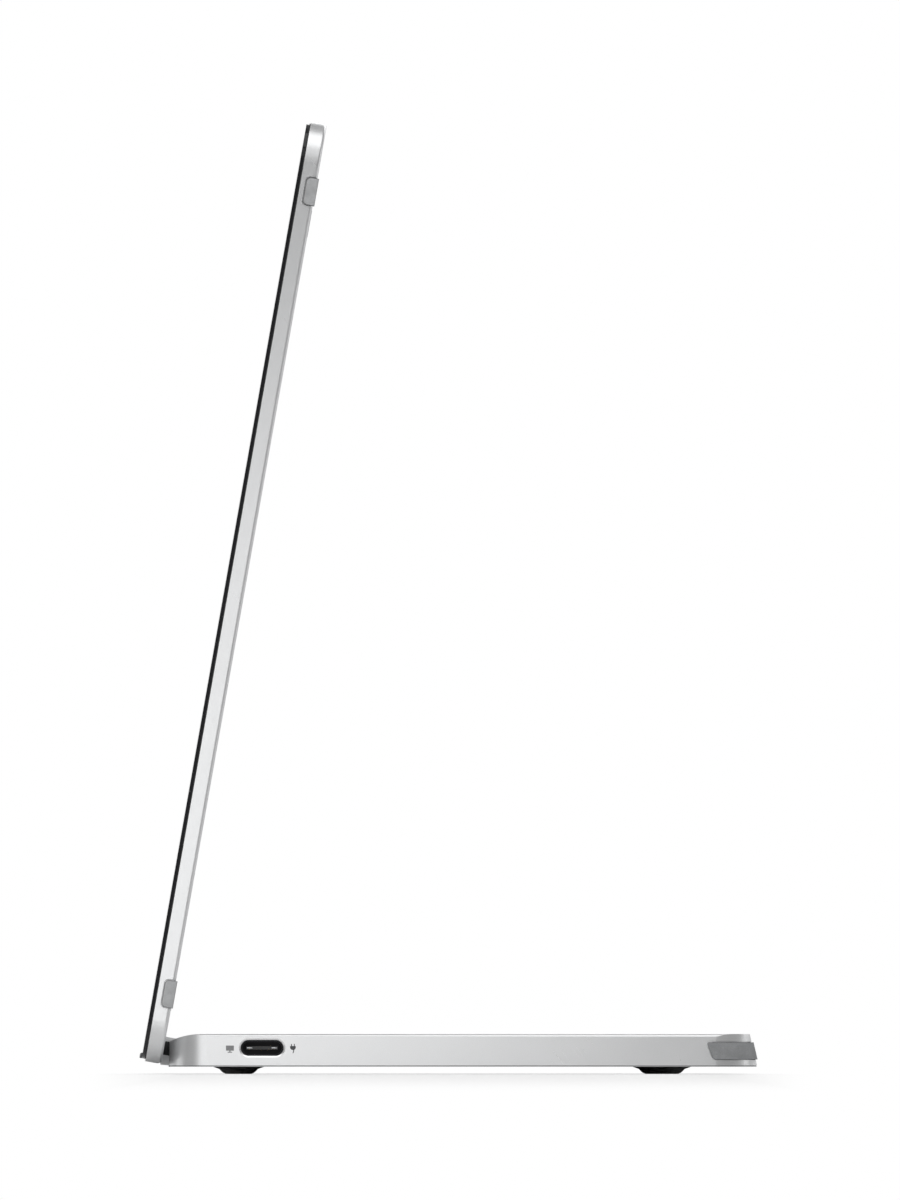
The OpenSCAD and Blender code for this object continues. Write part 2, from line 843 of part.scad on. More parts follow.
module shell_ribs() {
    rib_start = board_low_y + board_len_y + 3;
    rib_end = base_high_y - rear_slant - base_wall;
    for (i = [-2 : 2]) {
        translate([i * base_w / 8 - rib_t / 2, rib_start, rib_low_z])
            cube([rib_t, rib_end - rib_start + cut, base_t]);
    }
    for (x = [-1, 1]) {
        for (y = [screw_hinge_y, screw_rear_y]) {
            translate([x * screw_x, y, rib_low_z]) cylinder(r = post_r, h = base_t);
        }
    }
}

module bottom_cover() {
    cover_gap = 0.1;
    standoff_r = 2.5;
    color([0.72, 0.73, 0.74]) difference() {
        union() {
            intersection() {
                translate([0, 0, foot_h]) linear_extrude(cover_flange_t) base_plan(0.15);
                across(-base_w / 2, base_w / 2) base_profile(foot_h, 0.15, 0);
            }
            intersection() {
                translate([0, 0, foot_h]) linear_extrude(cover_t)
                    base_plan(base_wall + cover_gap);
                across(-base_w / 2, base_w / 2)
                    base_profile(foot_h, base_wall + cover_gap, 0);
            }
            for (x = [-0.8, -0.32, 0.32, 0.8]) {
                for (y = [board_low_y + 4, board_low_y + board_len_y - 4]) {
                    translate([x * board_half(), y, foot_h])
                        cylinder(r = standoff_r, h = board_z - foot_h);
                }
            }
        }
        for (x = [-1, 1]) {
            for (y = [screw_hinge_y, screw_rear_y]) {
                translate([x * screw_x, y, foot_h - cut]) {
                    cylinder(r = screw_r + 0.1, h = cover_t + 2 * cut);
                    cylinder(r = screw_head_r + 0.15, h = screw_head_t + cut);
                }
            }
        }
    }
}

screw_head_r = 1.7;
screw_head_t = 0.5;

module cover_screw(side, y) {
    color([0.4, 0.4, 0.42]) translate([side_sign(side) * screw_x, y, foot_h]) difference() {
        union() {
            cylinder(r = screw_head_r, h = screw_head_t);
            cylinder(r = screw_r, h = screw_len + cover_flange_t - 0.2);
        }
        translate([0, 0, -cut]) cylinder(r = 0.7, h = cut + 0.3, $fn = 6);
    }
}

// Band that follows the base, drawn in by inset and taller than an insert at both ends
module insert_band(inset) {
    intersection() {
        translate([0, 0, insert_z - cut]) linear_extrude(insert_h + 2 * cut) base_plan(inset);
        across(-base_w, base_w) base_profile(0, inset, 0);
    }
}

// Side outline of an insert: its front end slants and has two round corners
module insert_outline() {
    lean = 0.4;
    r = 1.1;
    beyond = 5;
    run = sqrt(1 + lean * lean);
    start = base_high_y - insert_len;
    half = insert_h / 2;
    reach = half - r;
    translate([0, insert_z + half]) {
        polygon([
            [start - lean * reach + r * run, half],
            [start - lean * reach + r * run - r / run, reach - r * lean / run],
            [start + lean * reach + r * run - r / run, -reach - r * lean / run],
            [start + lean * reach + r * run, -half],
            [base_high_y + beyond, -half],
            [base_high_y + beyond, half]
        ]);
        for (z = [-reach, reach]) {
            translate([start - lean * z + r * run, z]) circle(r);
        }
    }
}

// Corner insert: a band round the rear corner
module rear_insert_solid(side) {
    reach = 16;
    difference() {
        intersection() {
            insert_band(-insert_proud);
            across_side(side_sign(side), base_w / 2 - reach, base_w / 2 + insert_proud + cut)
                insert_outline();
        }
        insert_band(insert_depth);
    }
}

module rear_insert(side) {
    color([0.5, 0.51, 0.52]) rear_insert_solid(side);
}

// Rubber foot: a strip across the base with half-round ends
module foot(y) {
    flange_z = foot_h - 0.06;
    body_z = foot_h - 0.5;
    half = [[0, 0], [foot_tip_w / 2, 0], [foot_body_w / 2, body_z], [foot_flange_w / 2, flange_z],
        [foot_flange_w / 2, foot_h], [0, foot_h]];
    end_x = foot_len / 2 - foot_flange_w / 2;
    color([0.3, 0.3, 0.31]) translate([0, y, 0]) {
        across(-end_x, end_x) {
            polygon(half);
            mirror([1, 0]) polygon(half);
        }
        for (x = [-1, 1]) {
            translate([x * end_x, 0, 0]) rotate_extrude() polygon(half);
        }
    }
}

module main_board() {
    color([0.05, 0.3, 0.15]) translate([-board_half(), board_low_y, board_z])
        cube([2 * board_half(), board_len_y, board_t]);
}

function board_half() = cavity_half - 2;

chip_w = 10;
chip_h = 1.2;
inductor_w = 4;
inductor_pitch = 8;

module board_chips() {
    color([0.09, 0.09, 0.1]) {
        for (x = [-0.6, -0.4, 0.4, 0.6]) {
            translate([x * board_half() - chip_w / 2, board_low_y + board_len_y / 3, board_top_z])
                cube([chip_w, chip_w, chip_h]);
        }
        for (i = [-3 : 4]) {
            translate([board_half() / 2 + i * inductor_pitch, board_low_y + 0.8 * board_len_y,
                board_top_z]) cube([inductor_w, 3, chip_h / 2]);
        }
    }
}

module shield_can() {
    can_w = 60;
    can_d = 22;
    can_h = 2;
    wall = 0.3;
    color([0.75, 0.76, 0.78]) translate([-can_w / 2, board_low_y + 4, board_top_z]) difference() {
        cube([can_w, can_d, can_h]);
        translate([wall, wall, -cut]) cube([can_w - 2 * wall, can_d - 2 * wall, can_h - wall + cut]);
    }
}

// Metal shell of a port, open towards the side of the base
module port_shell(side) {
    mouth = base_w / 2 - 0.35;
    w = port_w - 2 * port_play;
    h = port_h - 2 * port_play;
    color([0.62, 0.63, 0.65]) translate([0, port_y, port_z]) difference() {
        across_side(side_sign(side), mouth - port_depth, mouth) pill(w, h);
        across_side(side_sign(side), mouth - port_depth + 0.5, mouth + cut)
            pill(w - 2 * port_wall, h - 2 * port_wall);
    }
}

module port_tongue(side) {
    root = base_w / 2 - 0.35 - port_depth + 0.5;
    color([0.12, 0.12, 0.13]) translate([0, port_y, port_z])
        across_side(side_sign(side), root, root + tongue_len)
            square([tongue_w, tongue_t], center = true);
}

button_board_margin = 6;

module button_board() {
    low_y = button_y[0] - button_board_margin;
    high_y = button_y[2] + button_board_margin;
    color([0.05, 0.3, 0.15]) translate([button_board_x, low_y, board_top_z])
        cube([button_board_t, high_y - low_y, base_top_z - base_top_wall - board_top_z - 0.1]);
}

module switch_block(key) {
    color([0.15, 0.15, 0.16])
        translate([switch_face_x, button_y[key_index(key)] - switch_size / 2,
            button_z - switch_size / 2])
            cube([button_board_x - switch_face_x, switch_size, switch_size]);
}

// Button with a flange behind the wall and a stem towards its switch
module button(key) {
    len = key_len(key);
    face = base_w / 2 + button_proud;
    flange_outer = cavity_half - seat_gap;
    stem_end = -switch_face_x + button_travel + seat_gap;
    color([0.7, 0.71, 0.72]) translate([0, button_y[key_index(key)], button_z]) {
        across_side(-1, flange_outer, face) pill(len, button_h);
        across_side(-1, flange_outer - flange_t, flange_outer)
            pill(len + 2 * flange_lip, button_h + 2 * flange_lip);
        across_side(-1, stem_end, flange_outer) circle(stem_r);
    }
}

display_shell();
glass_adhesive();
cover_glass();
lcd_cell();
film_stack();
light_guide();
reflector();
panel_frame();
led_strip();
driver_board();
driver_chips();
front_lip();
hinge_cover();
display_cable();
base_shell();
bottom_cover();
main_board();
board_chips();
shield_can();
base_cable();
button_board();
foot(base_low_y + foot_hinge_inset);  // foot_hinge
foot(base_high_y - foot_rear_inset);  // foot_rear
for (side = SIDES) {
    bumper_side(side, bumper_high());
    bumper_side(side, bumper_low());
    hinge_cap(side);
    hinge_leaf(side);
    leaf_screws(side);
    hinge_bracket(side);
    bracket_screws(side);
    hinge_shaft(side);
    friction_washers(side);
    shaft_nut(side);
    port_shell(side);
    port_tongue(side);
    rear_insert(side);
    cover_screw(side, screw_hinge_y);
    cover_screw(side, screw_rear_y);
}
for (key = KEYS) {
    button(key);
    switch_block(key);
}
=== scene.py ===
"""Portable monitor on a hinged base: finishes, fine pieces, studio and camera over its frame.

Lengths are in metres. X runs across the screen, Y from the glass to the rear of the base, Z up.
"""

import logging
import math
from dataclasses import dataclass, field
from enum import Enum
from typing import Callable

import bmesh
import bpy
from mathutils import Matrix, Vector


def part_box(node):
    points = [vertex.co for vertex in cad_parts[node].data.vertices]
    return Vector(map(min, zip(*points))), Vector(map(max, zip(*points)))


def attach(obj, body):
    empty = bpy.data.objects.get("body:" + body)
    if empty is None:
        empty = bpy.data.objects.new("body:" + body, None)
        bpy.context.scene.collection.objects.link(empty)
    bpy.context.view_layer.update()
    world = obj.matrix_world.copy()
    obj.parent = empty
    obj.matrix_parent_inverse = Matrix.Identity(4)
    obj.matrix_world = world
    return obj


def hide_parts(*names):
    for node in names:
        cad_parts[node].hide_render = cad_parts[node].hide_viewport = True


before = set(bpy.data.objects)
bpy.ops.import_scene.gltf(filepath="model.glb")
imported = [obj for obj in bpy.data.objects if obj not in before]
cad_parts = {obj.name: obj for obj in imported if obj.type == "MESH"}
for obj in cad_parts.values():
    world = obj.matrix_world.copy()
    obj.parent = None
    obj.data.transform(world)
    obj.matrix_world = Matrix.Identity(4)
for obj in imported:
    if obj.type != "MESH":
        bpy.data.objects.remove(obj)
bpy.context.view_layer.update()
LOG = logging.getLogger("monitor")

MM = 0.001
# Name of the mark along an outline where finishes paint shade.
PAINTED_SHADE_RIM = "rim"
Pair = tuple[float, float]
Triple = tuple[float, float, float]
Colour = tuple[float, float, float, float]
Faces = list[bmesh.types.BMFace]
ORIGIN: Triple = (0.0, 0.0, 0.0)
STRAIGHT: Triple = (0.0, 0.0, 0.0)


class Side(Enum):
    """Side of the object, as the sign of its X."""

    LEFT = -1
    RIGHT = 1

    @property
    def tag(self) -> str:
        """Ending of the names of the nodes on this side."""
        return self.name.lower()


class Body(Enum):
    """Moving bodies of the frame."""

    BASE = "base"
    DISPLAY = "display"
    POWER = "power_button"
    BRIGHT_UP = "bright_up_button"
    BRIGHT_DOWN = "bright_down_button"


def mm(*lengths: float) -> tuple[float, ...]:
    """Lengths in millimetres, as metres."""
    return tuple(length * MM for length in lengths)


def shade(colour: Triple, amount: float) -> Colour:
    """Colour times an amount, at most white, with full cover."""
    red, green, blue = (min(1.0, channel * amount) for channel in colour)
    return (red, green, blue, 1.0)


def grey(level: float) -> Colour:
    """Neutral colour."""
    return (level, level, level, 1.0)


# ---------- shader maths ----------


class Wire:
    """Output socket on which arithmetic adds Math nodes to its recipe."""

    def __init__(self, recipe: "Recipe", socket: bpy.types.NodeSocket) -> None:
        """Keeps the recipe under construction and the output that this wire stands for."""
        self.recipe = recipe
        self.socket = socket

    def math(self, operation: str, *values: "Wire | float") -> "Wire":
        """Result of one Math node on this value and the other operands."""
        return self.recipe.maths(operation, self, *values)

    def __add__(self, other: "Wire | float") -> "Wire":
        """Sum."""
        return self.math("ADD", other)

    __radd__ = __add__

    def __mul__(self, other: "Wire | float") -> "Wire":
        """Product."""
        return self.math("MULTIPLY", other)

    __rmul__ = __mul__

    def __sub__(self, other: "Wire | float") -> "Wire":
        """Difference."""
        return self.math("SUBTRACT", other)

    def __rsub__(self, other: float) -> "Wire":
        """Difference from a number."""
        return self.recipe.maths("SUBTRACT", other, self)

    def __abs__(self) -> "Wire":
        """Value without its sign."""
        return self.math("ABSOLUTE")

    def __mod__(self, other: float) -> "Wire":
        """Rest of a division, always positive."""
        return self.math("FLOORED_MODULO", other)

    def off_middle(self) -> "Wire":
        """Distance to the middle of the unit that the value lies in, from 0 to one half."""
        return abs(self % 1.0 - 0.5)

    def step(self, low: float, high: float) -> "Wire":
        """Soft step from 0 at the low value to 1 at the high one."""
        inputs = {"Value": self, "From Min": low, "From Max": high}
        return self.recipe.node("ShaderNodeMapRange", {"interpolation_type": "SMOOTHSTEP"}, inputs)

    def spread(self) -> "Wire":
        """Soft step across the middle of a noise's values."""
        return self.step(0.3, 0.7)


class Recipe:
    """Node tree of one material or of the world, made step by step."""

    def __init__(self, tree: bpy.types.NodeTree) -> None:
        """Empties the tree."""
        self.tree = tree
        tree.nodes.clear()

    def node(self, kind: str, settings: dict, inputs: dict, output: int | str = 0) -> Wire:
        """Adds any node.

        Args:
            kind: Type of the node.
            settings: Properties to set first.
            inputs: Numbers, colours or wires, by the socket's name or number.
            output: Name or number of the output to return.

        Returns:
            The chosen output.
        """
        made = self.tree.nodes.new(kind)
        for key, value in settings.items():
            setattr(made, key, value)
        for key, value in inputs.items():
            if isinstance(value, Wire):
                self.tree.links.new(value.socket, made.inputs[key])
            else:
                made.inputs[key].default_value = value
        return Wire(self, made.outputs[output])

    def close(self, kind: str, shader: Wire) -> None:
        """Ends the recipe with an output node."""
        end = self.tree.nodes.new(kind)
        self.tree.links.new(shader.socket, end.inputs["Surface"])

    def maths(self, operation: str, *values: "Wire | float") -> Wire:
        """Result of one Math node on the operands, in order."""
        return self.node("ShaderNodeMath", {"operation": operation}, dict(enumerate(values)))

    def place(
        self, size: Triple | float = 1.0, centre: Triple = ORIGIN, turn: Triple = STRAIGHT
    ) -> Wire:
        """Object coordinates round a centre, in units of a feature's size.

        Args:
            size: Size of one feature, alike or by axis.
            centre: Point that becomes the origin.
            turn: Rotation of the pattern's axes.

        Returns:
            The vector.
        """
        scale = size if isinstance(size, tuple) else (size, size, size)
        spot = self.node("ShaderNodeTexCoord", {}, {}, "Object")
        return self.node(
            "ShaderNodeMapping",
            {"vector_type": "TEXTURE"},
            {"Vector": spot, "Location": centre, "Rotation": turn, "Scale": scale},
        )

    def axes(self, vector: Wire) -> tuple[Wire, ...]:
        """X, Y and Z of a vector."""
        parts = self.node("ShaderNodeSeparateXYZ", {}, {"Vector": vector})
        return tuple(Wire(self, output) for output in parts.socket.node.outputs)

    def noise(
        self,
        size: Triple | float,
        detail: float = 2.0,
        roughness: float = 0.5,
        turn: Triple = STRAIGHT,
    ) -> Wire:
        """Cloudy noise round one half.

        Args:
            size: Size of one feature, alike or by axis.
            detail: Number of finer layers.
            roughness: Weight of the finer layers.
            turn: Rotation of the pattern's axes.

        Returns:
            The noise.
        """
        spot = self.place(size, turn=turn)
        return self.node(
            "ShaderNodeTexNoise",
            {"noise_dimensions": "3D"},
            {"Vector": spot, "Scale": 1.0, "Detail": detail, "Roughness": roughness},
        )

    def cells(self, size: float) -> Wire:
        """Distance to the nearest point of a scatter, in units of the size of its cells."""
        spot = self.place(size)
        return self.node("ShaderNodeTexVoronoi", {"feature": "F1"}, {"Vector": spot, "Scale": 1.0})

    def rays(self, kind: str) -> Wire:
        """Mask of one kind of rays, by the name of its output."""
        return self.node("ShaderNodeLightPath", {}, {}, kind)

    def blend(self, factor: Wire | float, first: Wire | Colour, second: Wire | Colour) -> Wire:
        """Mix from the first colour, at 0, to the second, at 1."""
        settings = {"data_type": "RGBA", "clamp_factor": True}
        return self.node("ShaderNodeMix", settings, {0: factor, 6: first, 7: second}, 2)

    def relief(self, height: Wire, depth: float, strength: float = 0.5) -> Wire:
        """Normal of a height whose values 0 and 1 lie a depth apart."""
        inputs = {"Height": height, "Distance": depth, "Strength": strength}
        return self.node("ShaderNodeBump", {}, inputs)

    def surface(self, sockets: dict) -> None:
        """Ends the recipe with a Principled surface of these sockets."""
        shader = self.node("ShaderNodeBsdfPrincipled", {}, sockets)
        self.close("ShaderNodeOutputMaterial", shader)


# ---------- finishes ----------


@dataclass(frozen=True)
class Finish:
    """Look of a surface, made into a material once.

    Its tones are the shares of the colour at the ends of its main pattern. A layer, in the finishes
    below, is the share that it covers and its share of the colour. A band holds the values of a
    pattern where a soft step begins and ends.
    """

    name: str
    colour: Triple
    tones: Pair = (1.0, 1.0)

    def material(self) -> bpy.types.Material:
        """Finds or makes the material.

        Returns:
            The material.
        """
        made = bpy.data.materials.get(self.name)
        if made is None:
            made = bpy.data.materials.new(self.name)
            made.use_nodes = True
            self.mix(Recipe(made.node_tree))
        return made

    def shades(self, recipe: Recipe, mask: Wire) -> Wire:
        """Blend of the two tones of the colour."""
        return recipe.blend(mask, *(shade(self.colour, tone) for tone in self.tones))

    def over(self, recipe: Recipe, tone: Wire, mask: Wire, layer: Pair) -> Wire:
        """Tone with a layer laid over it where the mask is 1."""
        return recipe.blend(mask * layer[0], tone, shade(self.colour, layer[1]))

    def mix(self, recipe: Recipe) -> None:
        """Fills the empty recipe of the material."""
        raise NotImplementedError


@dataclass(frozen=True)
class Anodised(Finish):
    """Blasted and anodised aluminium: an even grain with faint clouds and hairlines."""

    tones: Pair = (0.97, 1.03)
    roughness: float = 0.34
    metal: float = 0.8
    grain: float = 0.14 * MM
    grain_share: float = 0.75
    grain_rough: float = 0.12
    grain_depth: float = 0.004 * MM
    cloud: float = 16 * MM
    cloud_rough: float = 0.03
    hair: Triple = mm(30, 0.1, 9)
    hair_turn: Triple = (0.5, 0.2, 0.9)
    hair_band: Pair = (0.69, 0.76)
    hair_patch: Pair = (0.5, 0.62)
    hair_layer: Pair = (0.3, 1.15)
    hair_rough: float = -0.08

    def mix(self, recipe: Recipe) -> None:
        """Adds the grain, the clouds and the hairlines.

        Args:
            recipe: Empty recipe of the material.
        """
        grain = recipe.noise(self.grain, 1.0)
        cloud = recipe.noise(self.cloud, 3.0)
        hair = recipe.noise(self.hair, 1.0, turn=self.hair_turn).step(*self.hair_band)
        marks = hair * cloud.step(*self.hair_patch)
        mottle = grain * self.grain_share + cloud * (1 - self.grain_share)
        tone = self.shades(recipe, mottle.spread())
        even = self.roughness + marks * self.hair_rough
        clouded = even + (cloud - 0.5) * self.cloud_rough
        recipe.surface(
            {
                "Base Color": self.over(recipe, tone, marks, self.hair_layer),
                "Metallic": self.metal,
                "Roughness": clouded + (grain - 0.5) * self.grain_rough,
                "Normal": recipe.relief(grain, self.grain_depth),
            }
        )


@dataclass(frozen=True)
class Rubber(Finish):
    """Matt rubber: a fine stipple, with dust on its open faces, and painted shade along its outline
    for the shadow gap round the piece.
    """

    tones: Pair = (0.9, 1.1)
    roughness: float = 0.72
    specular: float = 0.35
    stipple: float = 0.22 * MM
    stipple_band: Pair = (0.5, 0.8)
    stipple_layer: Pair = (0.25, 0.7)
    stipple_depth: float = 0.02 * MM
    cloud: float = 2.6 * MM
    cloud_rough: float = 0.2
    fibre: Triple = mm(0.08, 0.9, 0.9)
    fibre_turn: Triple = (0.3, 0.8, 0.4)
    fibre_band: Pair = (0.73, 0.8)
    dust_patch: Pair = (0.45, 0.6)
    dust_layer: Pair = (0.3, 1.6)
    # Painted shade along the marked outline, standing in for the shadow gap round the piece.
    painted_shade_band: Pair = (0.1, 0.8)
    painted_shade_layer: Pair = (0.75, 0.3)

    def mix(self, recipe: Recipe) -> None:
        """Adds the stipple, the clouds, the dust and the painted shade along the outline, for the
        gap round the piece.

        Args:
            recipe: Empty recipe of the material.
        """
        stipple = recipe.cells(self.stipple)
        # Mark of the outline, where painted shade stands in for the gap round the piece.
        rim = recipe.node("ShaderNodeAttribute", {"attribute_name": PAINTED_SHADE_RIM}, {}, "Fac")
        cloud = recipe.noise(self.cloud, 4.0, 0.6)
        fibre = recipe.noise(self.fibre, 0.0, turn=self.fibre_turn).step(*self.fibre_band)
        dust = fibre * cloud.step(*self.dust_patch)
        tone = self.shades(recipe, cloud.spread())
        tone = self.over(recipe, tone, stipple.step(*self.stipple_band), self.stipple_layer)
        tone = self.over(recipe, tone, dust, self.dust_layer)
        recipe.surface(
            {
                # Painted shade laid over the outline.
                "Base Color": self.over(recipe, tone, rim.step(*self.painted_shade_band), self.painted_shade_layer),
                "Roughness": self.roughness + (cloud - 0.5) * self.cloud_rough,
                "Normal": recipe.relief(1 - stipple, self.stipple_depth),
                "Specular IOR Level": self.specular,
            }
        )


@dataclass(frozen=True)
class Moulded(Finish):
    """Moulded plastic: spark-eroded texture with faint flow clouds."""

    tones: Pair = (0.88, 1.12)
    roughness: float = 0.5
    grit: float = 0.12 * MM
    grit_rough: float = 0.2
    grit_depth: float = 0.01 * MM
    flow: Triple = mm(9, 2, 2)
    flow_band: Pair = (0.35, 0.65)

    def mix(self, recipe: Recipe) -> None:
        """Adds the texture and the flow clouds.

        Args:
            recipe: Empty recipe of the material.
        """
        grit = recipe.noise(self.grit)
        flow = recipe.noise(self.flow)
        recipe.surface(
            {
                "Base Color": self.shades(recipe, flow.step(*self.flow_band)),
                "Roughness": self.roughness + (grit - 0.5) * self.grit_rough,
                "Normal": recipe.relief(grit, self.grit_depth),
            }
        )


@dataclass(frozen=True)
class Steel(Finish):
    """Brushed or drawn steel: streaks along one axis, with faint stains."""

    tones: Pair = (0.85, 1.1)
    roughness: float = 0.3
    streak: Triple = mm(6, 0.05, 0.05)
    streak_rough: float = 0.2
    streak_depth: float = 0.006 * MM
    stain: float = 3 * MM
    stain_band: Pair = (0.55, 0.75)
    stain_layer: Pair = (0.2, 0.75)

    def mix(self, recipe: Recipe) -> None:
        """Adds the streaks and the stains.

        Args:
            recipe: Empty recipe of the material.
        """
        streaks = recipe.noise(self.streak)
        stain = recipe.noise(self.stain, 3.0).step(*self.stain_band)
        tone = self.shades(recipe, streaks.spread())
        recipe.surface(
            {
                "Base Color": self.over(recipe, tone, stain, self.stain_layer),
                "Metallic": 1.0,
                "Roughness": self.roughness + (streaks - 0.5) * self.streak_rough,
                "Normal": recipe.relief(streaks, self.streak_depth),
            }
        )


@dataclass(frozen=True, kw_only=True)
class CoverGlass(Finish):
    """Dark cover glass: a black border round the slightly lighter viewing area."""

    tones: Pair = (0.45, 1.3)
    centre: Triple
    turn: Triple
    view: Pair
    half_width: float
    blur: float = 0.1 * MM
    edge_rough: float = 0.55
    face_rough: float = -0.46
    coat: float = 0.35
    coat_rough: float = 0.04
    specular: float = 0.15
    smear: Triple = mm(24, 24, 60)
    smear_turn: Triple = (0.2, 0.1, 0.5)
    smear_band: Pair = (0.4, 0.7)
    smear_rough: float = 0.05
    smear_coat: float = 0.15
    speck: float = 3.1 * MM
    speck_band: Pair = (0.03, 0.05)
    dust_patch: Pair = (0.45, 0.55)
    dust_colour: Triple = (0.35, 0.35, 0.36)
    dust_cover: float = 0.35
    dust_rough: float = 0.3

    def mix(self, recipe: Recipe) -> None:
        """Adds the viewing area, the smears, the dust and the ground edge of the glass.

        Args:
            recipe: Empty recipe of the material.
        """
        across, _, up = recipe.axes(recipe.place(1.0, self.centre, self.turn))
        half_w, half_h = self.view[0] / 2, self.view[1] / 2
        beside = abs(across).step(half_w - self.blur, half_w)
        above = abs(up).step(half_h - self.blur, half_h)
        ground = self.half_width - self.blur / 2
        face = 1 - abs(across).step(ground - self.blur, ground)
        smear = recipe.noise(self.smear, 4.0, turn=self.smear_turn)
        speck = 1 - recipe.cells(self.speck).step(*self.speck_band)
        dust = speck * smear.step(*self.dust_patch)
        tone = self.shades(recipe, (1 - beside) * (1 - above))
        clean = self.edge_rough + face * self.face_rough
        smeared = clean + smear.step(*self.smear_band) * self.smear_rough
        recipe.surface(
            {
                "Base Color": recipe.blend(
                    dust * self.dust_cover, tone, shade(self.dust_colour, 1.0)
                ),
                "Roughness": smeared + dust * self.dust_rough,
                "Coat Weight": face * (self.coat + smear * self.smear_coat),
                "Coat Roughness": self.coat_rough,
                "Specular IOR Level": self.specular,
            }
        )


@dataclass(frozen=True)
class FoamTape(Finish):
    """Black foam tape with open cells."""

    tones: Pair = (0.7, 1.5)
    roughness: float = 0.8
    cell: float = 0.18 * MM
    cell_rough: float = -0.1
    cell_depth: float = 0.03 * MM
    cell_relief: float = 0.6

    def mix(self, recipe: Recipe) -> None:
        """Adds the open cells.

        Args:
            recipe: Empty recipe of the material.
        """
        cells = recipe.cells(self.cell)
        recipe.surface(
            {
                "Base Color": self.shades(recipe, cells.spread()),
                "Roughness": self.roughness + cells * self.cell_rough,
                "Normal": recipe.relief(cells, self.cell_depth, self.cell_relief),
            }
        )


@dataclass(frozen=True)
class Optical(Finish):
    """Layer of a panel: milky or dark, with a fine regular line pattern."""

    tones: Pair = (1.0, 0.8)
    roughness: float = 0.35
    pitch: float = 0.3 * MM
    line_band: Pair = (0.35, 0.5)
    line_share: float = 0.4
    haze: float = 30 * MM
    haze_layer: Pair = (0.3, 1.08)
    haze_rough: float = 0.1

    def mix(self, recipe: Recipe) -> None:
        """Adds the line pattern and the haze.

        Args:
            recipe: Empty recipe of the material.
        """
        across, _, up = recipe.axes(recipe.place(self.pitch))
        columns, rows = (axis.off_middle().step(*self.line_band) for axis in (across, up))
        haze = recipe.noise(self.haze)
        tone = self.shades(recipe, (columns + rows) * self.line_share)
        recipe.surface(
            {
                "Base Color": self.over(recipe, tone, haze.spread(), self.haze_layer),
                "Roughness": self.roughness + haze * self.haze_rough,
            }
        )


@dataclass(frozen=True)
class DiodeStrip(Finish):
    """Flexible strip with yellow diodes at even distances."""

    roughness: float = 0.3
    pitch: float = 6.4 * MM
    diode_band: Pair = (0.26, 0.3)
    diode_colour: Triple = (0.93, 0.76, 0.2)
    diode_rough: float = 0.2
    grain: float = 0.2 * MM
    grain_layer: Pair = (0.2, 0.6)
    grain_rough: float = 0.1

    def mix(self, recipe: Recipe) -> None:
        """Adds the diodes and the grain.

        Args:
            recipe: Empty recipe of the material.
        """
        across, _, _ = recipe.axes(recipe.place(self.pitch))
        diode = 1 - across.off_middle().step(*self.diode_band)
        grain = recipe.noise(self.grain)
        tone = recipe.blend(diode, shade(self.colour, 1.0), shade(self.diode_colour, 1.0))
        bare = self.roughness + diode * self.diode_rough
        recipe.surface(
            {
                "Base Color": self.over(recipe, tone, grain, self.grain_layer),
                "Roughness": bare + grain * self.grain_rough,
            }
        )


@dataclass(frozen=True)
class SolderMask(Finish):
    """Green solder mask with raised traces, vias and tinned pads."""

    tones: Pair = (0.8, 1.5)
    roughness: float = 0.35
    pitch: float = 1.3 * MM
    trace_band: Pair = (0.3, 0.36)
    region: float = 7 * MM
    across_band: Pair = (0.47, 0.5)
    along_band: Pair = (0.42, 0.45)
    via: float = 2.2 * MM
    via_band: Pair = (0.1, 0.14)
    via_metal: float = 0.9
    via_rough: float = -0.1
    tin: Triple = (0.75, 0.72, 0.62)
    raised: float = 0.03 * MM
    raised_relief: float = 0.7

    def mix(self, recipe: Recipe) -> None:
        """Adds traces, along X in some regions and along Y in the others, and the vias.

        Args:
            recipe: Empty recipe of the material.
        """
        across, along, _ = recipe.axes(recipe.place(self.pitch))
        region = recipe.noise(self.region, 0.0)
        columns, rows = (axis.off_middle().step(*self.trace_band) for axis in (across, along))
        columns = columns * region.step(*self.across_band)
        rows = rows * (1 - region.step(*self.along_band))
        trace = columns.math("MAXIMUM", rows)
        via = 1 - recipe.cells(self.via).step(*self.via_band)
        raised = trace.math("MAXIMUM", via)
        recipe.surface(
            {
                "Base Color": recipe.blend(via, self.shades(recipe, trace), shade(self.tin, 1.0)),
                "Metallic": via * self.via_metal,
                "Roughness": self.roughness + via * self.via_rough,
                "Normal": recipe.relief(raised, self.raised, self.raised_relief),
            }
        )


@dataclass(frozen=True)
class CableTape(Finish):
    """Woven tape wound round a bundle of thin wires."""

    tones: Pair = (1.2, 0.5)
    roughness: float = 0.6
    turn: float = 1.6 * MM
    turn_band: Pair = (0.4, 0.5)
    turn_depth: float = 0.05 * MM
    turn_relief: float = 0.7
    weave: Triple = mm(0.1, 0.4, 0.1)
    weave_layer: Pair = (0.4, 1.9)
    weave_rough: float = 0.15

    def mix(self, recipe: Recipe) -> None:
        """Adds the turns of the tape and its weave.

        Args:
            recipe: Empty recipe of the material.
        """
        across, along, up = recipe.axes(recipe.place(self.turn))
        wrap = (across + along + up).off_middle().step(*self.turn_band)
        weave = recipe.noise(self.weave, 1.0)
        tone = self.shades(recipe, wrap)
        recipe.surface(
            {
                "Base Color": self.over(recipe, tone, weave.spread(), self.weave_layer),
                "Roughness": self.roughness + weave * self.weave_rough,
                "Normal": recipe.relief(1 - wrap, self.turn_depth, self.turn_relief),
            }
        )


